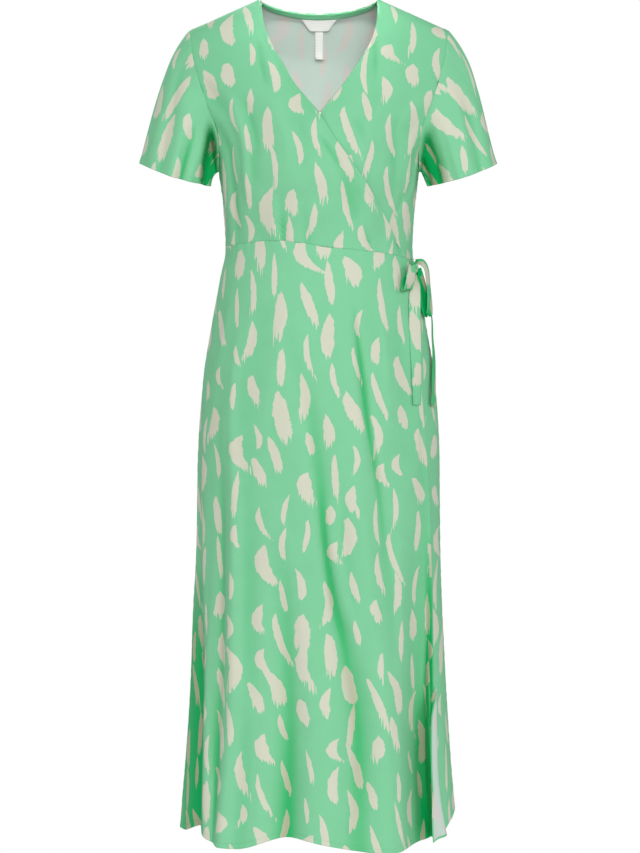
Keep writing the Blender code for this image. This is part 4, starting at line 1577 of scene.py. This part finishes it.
@dataclass
class NeckPieces:
    """The binding inside the back neck, the label under it and the tab that hangs from the label."""

    back: Panel
    binding_depth: float = 0.0095
    binding_share: float = 0.97  # share of the neck's width that the binding covers
    binding_wall: float = 0.0011
    label_top: float = 0.052
    label_bottom: float = 0.027
    label_height: float = 0.0185
    label_gap: float = 0.0012  # between the binding and the label
    label_wall: float = 0.0006
    tab_width: float = 0.011
    tab_length: float = 0.0445
    tab_gap: float = 0.0003
    inward: float = 0.0016

    def inside(self, across: Array, length: Array, inward: Array | float) -> Array:
        """Places inside the back, a length down the cloth from its neck edge.

        Args:
            across: metres across from the centre back, at the neck edge.
            length: metres down the cloth.
            inward: metres inside the cloth's middle.

        Returns:
            x, y and z, last in the array.
        """
        grid, normals = self.back.grid, self.back.normals
        x = -grid[0, :, 0]
        order = np.argsort(x)
        column = np.interp(across, x[order], order.astype(float))
        walk = walked(grid, 0)
        low = np.floor(column).astype(int)
        part = (column - low)[..., None]

        def down(k: Array) -> Array:
            """Interpolate down whole columns.

            Args:
                k: the columns' numbers.

            Returns:
                The places and normals there.
            """
            both = np.concatenate([grid, normals], axis=-1)
            found = np.empty((*np.shape(k), 6))
            for index in np.ndindex(np.shape(k)):
                c = k[index]
                found[index] = [np.interp(length[index], walk[:, c], both[:, c, j]) for j in range(6)]
            return found

        mixed = down(low) * (1 - part) + down(low + 1) * part
        return mixed[..., :3] - unit(mixed[..., 3:]) * np.asarray(inward)[..., None]

    def strip(
        self,
        rows: int,
        columns: int,
        width: Callable[[Array], Array],
        first: float,
        last: float,
        swing: float,
    ) -> Array:
        """Lay out one piece inside the back neck.

        Args:
            rows: steps down it.
            columns: steps across it.
            width: its width at a share of the way down.
            first: length down the cloth where it starts.
            last: length down the cloth where it ends.
            swing: how far its lower end hangs off the back.

        Returns:
            The piece's grid, facing the wearer.
        """
        share = np.linspace(0, 1, rows + 1)[:, None] + np.zeros(columns + 1)
        across = np.linspace(0.5, -0.5, columns + 1)[None, :] * width(share)
        return self.inside(across, first + (last - first) * share, self.inward + swing * share)

    def build(self, wardrobe: Wardrobe) -> None:
        """Make the three pieces.

        Args:
            wardrobe: the finishes.
        """
        neck_width = 2 * NECK_HALF * self.binding_share
        taper = self.label_bottom - self.label_top
        binding = self.strip(6, 90, lambda s: neck_width + 0 * s, 0.0002, self.binding_depth, 0.0)
        first = self.binding_depth + self.label_gap
        last = first + self.label_height
        label = self.strip(12, 28, lambda s: self.label_top + taper * s, first, last, 0.0003)
        first = last + self.tab_gap
        tab = self.strip(24, 8, lambda s: self.tab_width + 0 * s, first, first + self.tab_length, 0.002)
        sewn = {"slot": "label_tape", "single": self.label_wall}
        on_back = {"held": "laid", "rests_on": ("bodice_back",)}
        plain, satin = wardrobe.plain, wardrobe.label
        folded = on_back | {"single": self.binding_wall}
        laid = (
            ("back_neck_binding_cloth", binding, (13.031, 0.212), plain, folded),
            ("neck_label_satin", label, (0.0, 0.0), satin, on_back | sewn),
            ("label_tab_satin", tab, (0.1, 0.0), satin, sewn | {"rests_on": ("neck_label",)}),
        )
        raw = dict.fromkeys(SIDES, Edge.RAW)
        for name, grid, print_start, finishes, more in laid:
            node = name.removeprefix("back_").rsplit("_", 1)[0]
            Panel(name, node, grid, raw, print_start, **more).build(finishes)


@dataclass
class Bow:
    """The knot at the left side of the waist, its strap, two loops and two free ends."""

    form: DressForm
    turn: float = 68.6
    drop: float = 0.392
    knot_out: float = 0.0078
    knot_half: tuple[float, float, float] = (0.0052, 0.0056, 0.0085)
    width: float = 0.016
    wall: float = 0.0011
    steps: int = 110  # along a tie
    gather: float = 0.0035  # height of the gathers where a tie goes into the knot
    ripple: float = 0.0004  # height of its small twists
    # the knot: how much it narrows to its ends, and its creases' heights
    narrowing: float = 0.86
    creases: tuple[float, float] = (0.07, 0.05)
    print_place: tuple[float, float] = (17.0, 0.45)  # where it is on the cloth, and its share of painted shade

    # how far along, turn past the knot, drop below it, how far out from the tube, lean of the width from
    # along the tube to straight out of it, its tilt upward, share of the full width
    ROUTES = {
        "tie_strap": SmoothTable(
            (0.0, 20.6, -0.0080, 0.0024, 0, 90, 0.75),
            (0.5, 13.0, -0.0070, 0.0040, 0, 90, 0.70),
            (1.0, 2.75, -0.0030, 0.0066, 0, 90, 0.50),
        ),
        "tie_loop_front": SmoothTable(
            (0.00, -2.5, -0.0040, 0.0100, 10, 50, 0.45),
            (0.16, -7.0, -0.0010, 0.0165, 0, 35, 0.75),
            (0.40, -12.4, 0.0180, 0.0160, -5, 15, 1.20),
            (0.53, -14.2, 0.0315, 0.0110, -5, 10, 1.25),
            (0.66, -13.4, 0.0260, 0.0072, -5, 10, 1.15),
            (0.84, -8.4, 0.0120, 0.0070, 0, 25, 0.80),
            (1.00, -3.0, 0.0045, 0.0080, 0, 45, 0.45),
        ),
        "tie_loop_side": SmoothTable(
            (0.00, 2.8, -0.0080, 0.0115, 10, 60, 0.45),
            (0.12, 6.0, -0.0060, 0.0160, 10, 50, 0.60),
            (0.26, 8.8, 0.0040, 0.0190, 10, 10, 0.80),
            (0.46, 9.8, 0.0330, 0.0165, 5, 0, 1.00),
            (0.56, 10.2, 0.0590, 0.0125, 15, 0, 1.00),
            (0.62, 10.0, 0.0690, 0.0090, 25, 0, 1.00),
            (0.70, 9.6, 0.0560, 0.0066, 32, 0, 1.00),
            (0.86, 8.0, 0.0260, 0.0085, 30, 0, 0.80),
            (1.00, 3.9, 0.0020, 0.0110, 20, 20, 0.45),
        ),
        "tie_tail_front": SmoothTable(
            (0.00, 0.3, 0.0091, 0.0076, 10, 0, 0.50),
            (0.10, -3.2, 0.0260, 0.0080, 30, 0, 0.90),
            (0.25, -7.0, 0.0480, 0.0080, 35, 0, 1.05),
            (0.48, -10.8, 0.0900, 0.0070, 30, 0, 1.05),
            (0.75, -13.6, 0.1450, 0.0050, 15, 0, 0.95),
            (1.00, -15.0, 0.1960, 0.0037, 5, 0, 0.90),
        ),
        "tie_tail_side": SmoothTable(
            (0.00, 2.2, 0.0050, 0.0062, 0, 40, 0.50),
            (0.10, 10.0, 0.0140, 0.0045, 0, 15, 0.65),
            (0.22, 19.0, 0.0330, 0.0080, 0, 10, 0.80),
            (0.38, 20.4, 0.0680, 0.0105, 0, 0, 0.95),
            (0.60, 16.4, 0.1130, 0.0055, 0, 0, 1.00),
            (0.78, 9.0, 0.1530, 0.0030, 0, 0, 0.95),
            (1.00, 2.4, 0.1980, 0.0028, 0, 0, 0.90),
        ),
    }

    # how far along, share of painted shade where the bow's own cloth shuts it in
    PAINTED_SHADE = {
        "tie_strap": SmoothTable((0, 0.6), (1, 1)),
        "tie_loop_front": SmoothTable((0, 1), (0.12, 0.35), (0.40, 0.15), (0.55, 0.6), (0.75, 1), (1, 1)),
        "tie_loop_side": SmoothTable((0, 1), (0.12, 0.5), (0.30, 0.45), (0.52, 0.5), (0.62, 1), (1, 1)),
        "tie_tail_front": SmoothTable((0, 1), (0.08, 0.4), (0.20, 0), (1, 0)),
        "tie_tail_side": SmoothTable((0, 1), (0.30, 0.9), (0.60, 0.8), (1, 0.6)),
    }

    # where each tie starts on the printed cloth, in metres
    PRINT_START = {
        "tie_strap": (15.000, 0.360),
        "tie_loop_front": (16.327, 0.395),
        "tie_loop_side": (16.300, 0.160),
        "tie_tail_front": (15.832, 0.300),
        "tie_tail_side": (16.720, 0.360),
    }

    def ribbon(self, route: SmoothTable, seed: int) -> Array:
        """Lay a tie along its route.

        Args:
            route: the rows of the route.
            seed: number that fixes its small twists.

        Returns:
            The ribbon's grid.
        """

        def stand(share: Array) -> tuple[Array, Array, Array]:
            """Turn, drop and distance out at a share of the way along."""
            held = np.clip(share, 0, 1)
            return self.turn + route.read(held, 0), self.drop + route.read(held, 1), route.read(held, 2)

        share = np.linspace(0, 1, self.steps + 1)
        turn, drop, out = stand(share)
        lean, tilt = (np.radians(route.read(share, k)) for k in (3, 4))
        width = self.width * route.read(share, 5)
        heading = unit(self.form.point(*stand(share + 0.01)) - self.form.point(*stand(share - 0.01)))
        normal = self.form.normal(turn, drop)
        up = np.array([0.0, 0.0, 1.0])
        along = unit(np.cross(up, normal))
        level = along * np.cos(lean)[:, None] + normal * np.sin(lean)[:, None]
        across = level * np.cos(tilt)[:, None] + up * np.sin(tilt)[:, None]
        across = unit(across - heading * np.sum(across * heading, axis=-1, keepdims=True))
        face = np.cross(heading, across)
        middle = self.form.point(turn, drop, out)
        offset = np.linspace(-0.5, 0.5, 9)
        gather = 1 - width / self.width
        hump = np.maximum(0.0, gather)[:, None] * self.gather * np.cos(offset * 3 * math.pi)[None, :]
        ripple = self.ripple * waves(offset[None, :] * 0.03, share[:, None] * 0.2, seed, 0.03)
        sideways = across[:, None] * (width[:, None] * offset)[..., None]
        return middle[:, None] + sideways + face[:, None] * (hump + ripple)[..., None]

    def knot(self) -> Array:
        """Lay out the knot as a wrapped tube of cloth with slanting creases.

        Returns:
            The knot's grid.
        """
        rise = np.linspace(0.97, -0.97, 37)[:, None]
        angle = np.linspace(-math.pi, math.pi, 49)[None, :]
        girth = np.sqrt(1 - rise**2 * self.narrowing)
        broad, fine = self.creases
        crease = 1 + broad * np.sin(3 * angle + 5 * rise) * (1 - rise**2)
        crease = crease + fine * np.sin(7 * angle - 4 * rise)
        out, across, up = self.knot_half
        round_it = across * girth * np.sin(angle) * crease, -out * girth * np.cos(angle) * crease
        local = np.stack(np.broadcast_arrays(*round_it, up * rise), axis=-1)
        across, along = math.cos(math.radians(self.turn)), math.sin(math.radians(self.turn))
        spin = np.array([[across, along, 0], [-along, across, 0], [0, 0, 1]])
        centre = self.form.point(np.array(self.turn), np.array(self.drop), self.knot_out)
        return centre + local @ spin

    def build(self, wardrobe: Wardrobe) -> None:
        """Make the ties and the knot.

        Args:
            wardrobe: the finishes.
        """
        grid = self.knot()
        # the knot gets one share of painted shade throughout
        start, painted_shade = self.print_place
        layers = (walked(grid, 1) + start, -walked(grid, 0), painted_shade, self.wall, 1.0)
        layers = np.stack([layer + 0 * grid[..., 0] for layer in layers], axis=-1)
        knot = sheet_object("tie_knot_cloth", np.concatenate([grid, layers], axis=-1), wardrobe.cloth[:1])
        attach(knot, BODY)
        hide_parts("tie_knot")
        LOG.info("tie_knot_cloth: %d faces", len(knot.data.polygons))
        folded = dict.fromkeys(SIDES, Edge.RAW)
        for seed, (node, route) in enumerate(self.ROUTES.items(), 40):
            grid = self.ribbon(route, seed)
            Panel(
                f"{node}_cloth",
                node,
                grid,
                folded,
                self.PRINT_START[node],
                "top",
                rests_on=("skirt_front_under",) if node == "tie_strap" else ("tie_knot",),
                slot="tie_cloth",
                single=self.wall,
                with_pieces=(knot,) if node == "tie_tail_front" else (),
                painted_fold_shade=self.PAINTED_SHADE[node].read(np.linspace(0, 1, len(grid)))[:, None],
            ).build(wardrobe.cloth[:1])


@dataclass
class Stitching:
    """Straight lock stitches along the hems and turned edges."""

    pitch: float = 0.0030
    length: float = 0.0023
    half_width: float = 0.00022
    first: float = 0.002  # how far from the end of the line the first one is
    bulge: float = 1.4  # how wide the middle of a stitch is beside its ends

    def build(self, lines: list[tuple[Array, Array]], wardrobe: Wardrobe) -> None:
        """Make all the stitches as one mesh of small spindles.

        Args:
            lines: places and normals along each line of stitching.
            wardrobe: the finishes.
        """
        vertices, faces = [], []
        for places, normals in lines:
            walk = walked(places, 0)
            starts = np.arange(self.first, walk[-1] - self.length, self.pitch)
            ends = starts + self.length
            first, last, normal = (
                np.stack([np.interp(at, walk, values[:, k]) for k in range(3)], axis=-1)
                for at, values in ((starts, places), (ends, places), ((starts + ends) / 2, normals))
            )
            normal = unit(normal)
            side = np.cross(unit(last - first), normal)
            middle = (first + last) / 2
            reach = self.half_width
            corners = [first - normal * reach, last - normal * reach]
            for turn in range(4):
                angle = math.pi / 4 + turn * math.pi / 2
                outward = side * math.cos(angle) + normal * math.sin(angle)
                corners.append(middle + outward * reach * self.bulge)
            numbers = sum(len(v) for v in vertices) + len(corners) * np.arange(len(starts))
            vertices.append(np.stack(corners, axis=1).reshape(-1, 3))
            for turn in range(4):
                here, there = 2 + turn, 2 + (turn + 1) % 4
                faces.append(np.stack([numbers, numbers + there, numbers + here], axis=-1))
                faces.append(np.stack([numbers + 1, numbers + here, numbers + there], axis=-1))
        mesh = bpy.data.meshes.new("lock_stitches")
        mesh.from_pydata(np.concatenate(vertices), [], np.concatenate(faces).tolist())
        mesh.validate()
        mesh.shade_smooth()
        mesh.materials.append(wardrobe.thread[0])
        piece = put_in_scene("lock_stitches", mesh)
        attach(piece, BODY)
        LOG.info("lock_stitches: %d stitches", len(mesh.vertices) // 6)


@dataclass
class Studio:
    """A round white floor, soft boxes, white air all round and the camera."""

    camera_place: tuple[float, float, float] = (0.0015, -4.5, -0.42)
    camera_target: tuple[float, float, float] = (0.0015, 0.0, -0.6225)
    metres_per_pixel: float = 0.001466
    image_height: int = 853
    sensor: float = 36.0
    floor_drop: float = -1.50
    floor_radius: float = 1.12
    world_light: float = 0.38

    # share of the floor's radius, height above it
    FLOOR_PROFILE = ((0.5, 0.0), (0.992, 0.0), (0.9985, -0.004), (1.0, -0.012), (1.0, -0.05))
    MIDDLE = (0.0, 0.0, -0.6)  # what the large soft boxes point at
    # place, target, width and height, watts, degrees that the light spreads over
    SOFT_BOXES = {
        "key_box": ((0.5, -4.4, 0.7), MIDDLE, (1.7, 1.5), 97.0, 180.0),
        "right_box": ((3.2, -2.4, 0.7), MIDDLE, (1.5, 1.5), 36.0, 180.0),
        "left_box": ((-3.3, -2.3, 0.7), MIDDLE, (1.5, 1.5), 32.0, 180.0),
        "neck_box": ((0.03, -0.95, 0.85), (0.0, 0.09, -0.05), (0.12, 0.12), 0.125, 14.0),
        "back_box": ((-1.4, 3.4, 1.4), MIDDLE, (1.6, 1.6), 60.0, 180.0),
    }

    def floor(self) -> None:
        """Lay the floor, a low round platform with a soft edge."""
        turns = np.linspace(0, 2 * math.pi, 96, endpoint=False)
        vertices = [(0.0, 0.0, self.floor_drop)]
        for share, rise in self.FLOOR_PROFILE:
            reach = share * self.floor_radius
            vertices += [(reach * math.cos(t), reach * math.sin(t), self.floor_drop + rise) for t in turns]
        count = len(turns)
        faces = [(0, 1 + k, 1 + (k + 1) % count) for k in range(count)]
        for ring in range(len(self.FLOOR_PROFILE) - 1):
            start = 1 + ring * count
            for k in range(count):
                after = (k + 1) % count
                faces.append((start + k, start + count + k, start + count + after, start + after))
        mesh = bpy.data.meshes.new("studio_floor")
        mesh.from_pydata(vertices, [], faces)
        mesh.shade_smooth()
        mesh.materials.append(FloorPaint().material())
        put_in_scene("studio_floor", mesh)

    def soft_box(
        self, name: str, place: tuple, target: tuple, size: tuple, watts: float, spread: float
    ) -> None:
        """Hang a soft box.

        Args:
            name: the light's name.
            place: where it hangs.
            target: what it points at.
            size: its width and height.
            watts: its power.
            spread: degrees that its light spreads over, as a grid in front of it sets them.
        """
        data = bpy.data.lights.new(name, "AREA")
        data.shape = "RECTANGLE"
        data.size, data.size_y = size
        data.energy = watts
        data.spread = math.radians(spread)
        light = put_in_scene(name, data)
        light.location, light.rotation_euler = place, look_at(place, target)

    def camera(self) -> None:
        """Set the camera up so that a pixel has its real size at the dress."""
        distance = math.dist(self.camera_place, self.camera_target)
        data = bpy.data.cameras.new("camera")
        data.sensor_width = self.sensor
        data.lens = distance / self.metres_per_pixel / self.image_height * self.sensor
        camera = put_in_scene("camera", data)
        camera.location = self.camera_place
        camera.rotation_euler = look_at(self.camera_place, self.camera_target)
        bpy.context.scene.camera = camera

    def build(self) -> None:
        """Set the studio up."""
        self.camera()
        self.floor()
        for name, how in self.SOFT_BOXES.items():
            self.soft_box(name, *how)
        world = bpy.data.worlds.new("studio_air")
        world.use_nodes = True
        tree = world.node_tree
        # seen directly the air is white; it lights the cloth less than that, so that folds keep their shade
        seen = add_node(tree, "ShaderNodeLightPath").outputs["Is Camera Ray"]
        levels = {0: seen, 1: 0.0, 2: 1.0, 3: self.world_light, 4: 1.0}
        strength = add_node(tree, "ShaderNodeMapRange", {}, levels).outputs[0]
        feed(tree, tree.nodes["Background"], {"Color": (1, 1, 1, 1), "Strength": strength})
        bpy.context.scene.world = world
        bpy.context.scene.view_settings.view_transform = "Standard"


def look_at(place: Sequence[float], target: Sequence[float]) -> tuple[float, float, float]:
    """Rotation that points a camera or light at a target.

    Args:
        place: where it stands.
        target: what it looks at.

    Returns:
        Euler angles.
    """
    x, y, z = (t - p for t, p in zip(target, place))
    return math.atan2(math.hypot(x, y), -z), 0.0, math.atan2(-x, y)


def main() -> None:
    """Build the studio and the dress, piece by piece."""
    logging.basicConfig(level=logging.INFO, format="%(name)s %(message)s")
    Studio().build()
    wardrobe = Wardrobe()
    form = DressForm()
    bodice = Bodice(form)
    panels = bodice.build(wardrobe)
    for side in (-1, 1):
        sleeve = Sleeve(form, side).build(wardrobe)
        panels[sleeve.node] = sleeve
    panels |= Skirt(form, bodice).build(wardrobe)
    NeckPieces(panels["bodice_back"]).build(wardrobe)
    Bow(form).build(wardrobe)
    lines = []
    for panel in panels.values():
        for side, kind in panel.edges.items():
            if kind in BAND:
                lines.append(panel.line_inside(side, BAND[kind] - STITCH_BACK))
    Stitching().build(lines, wardrobe)


if __name__ == "__main__":
    main()
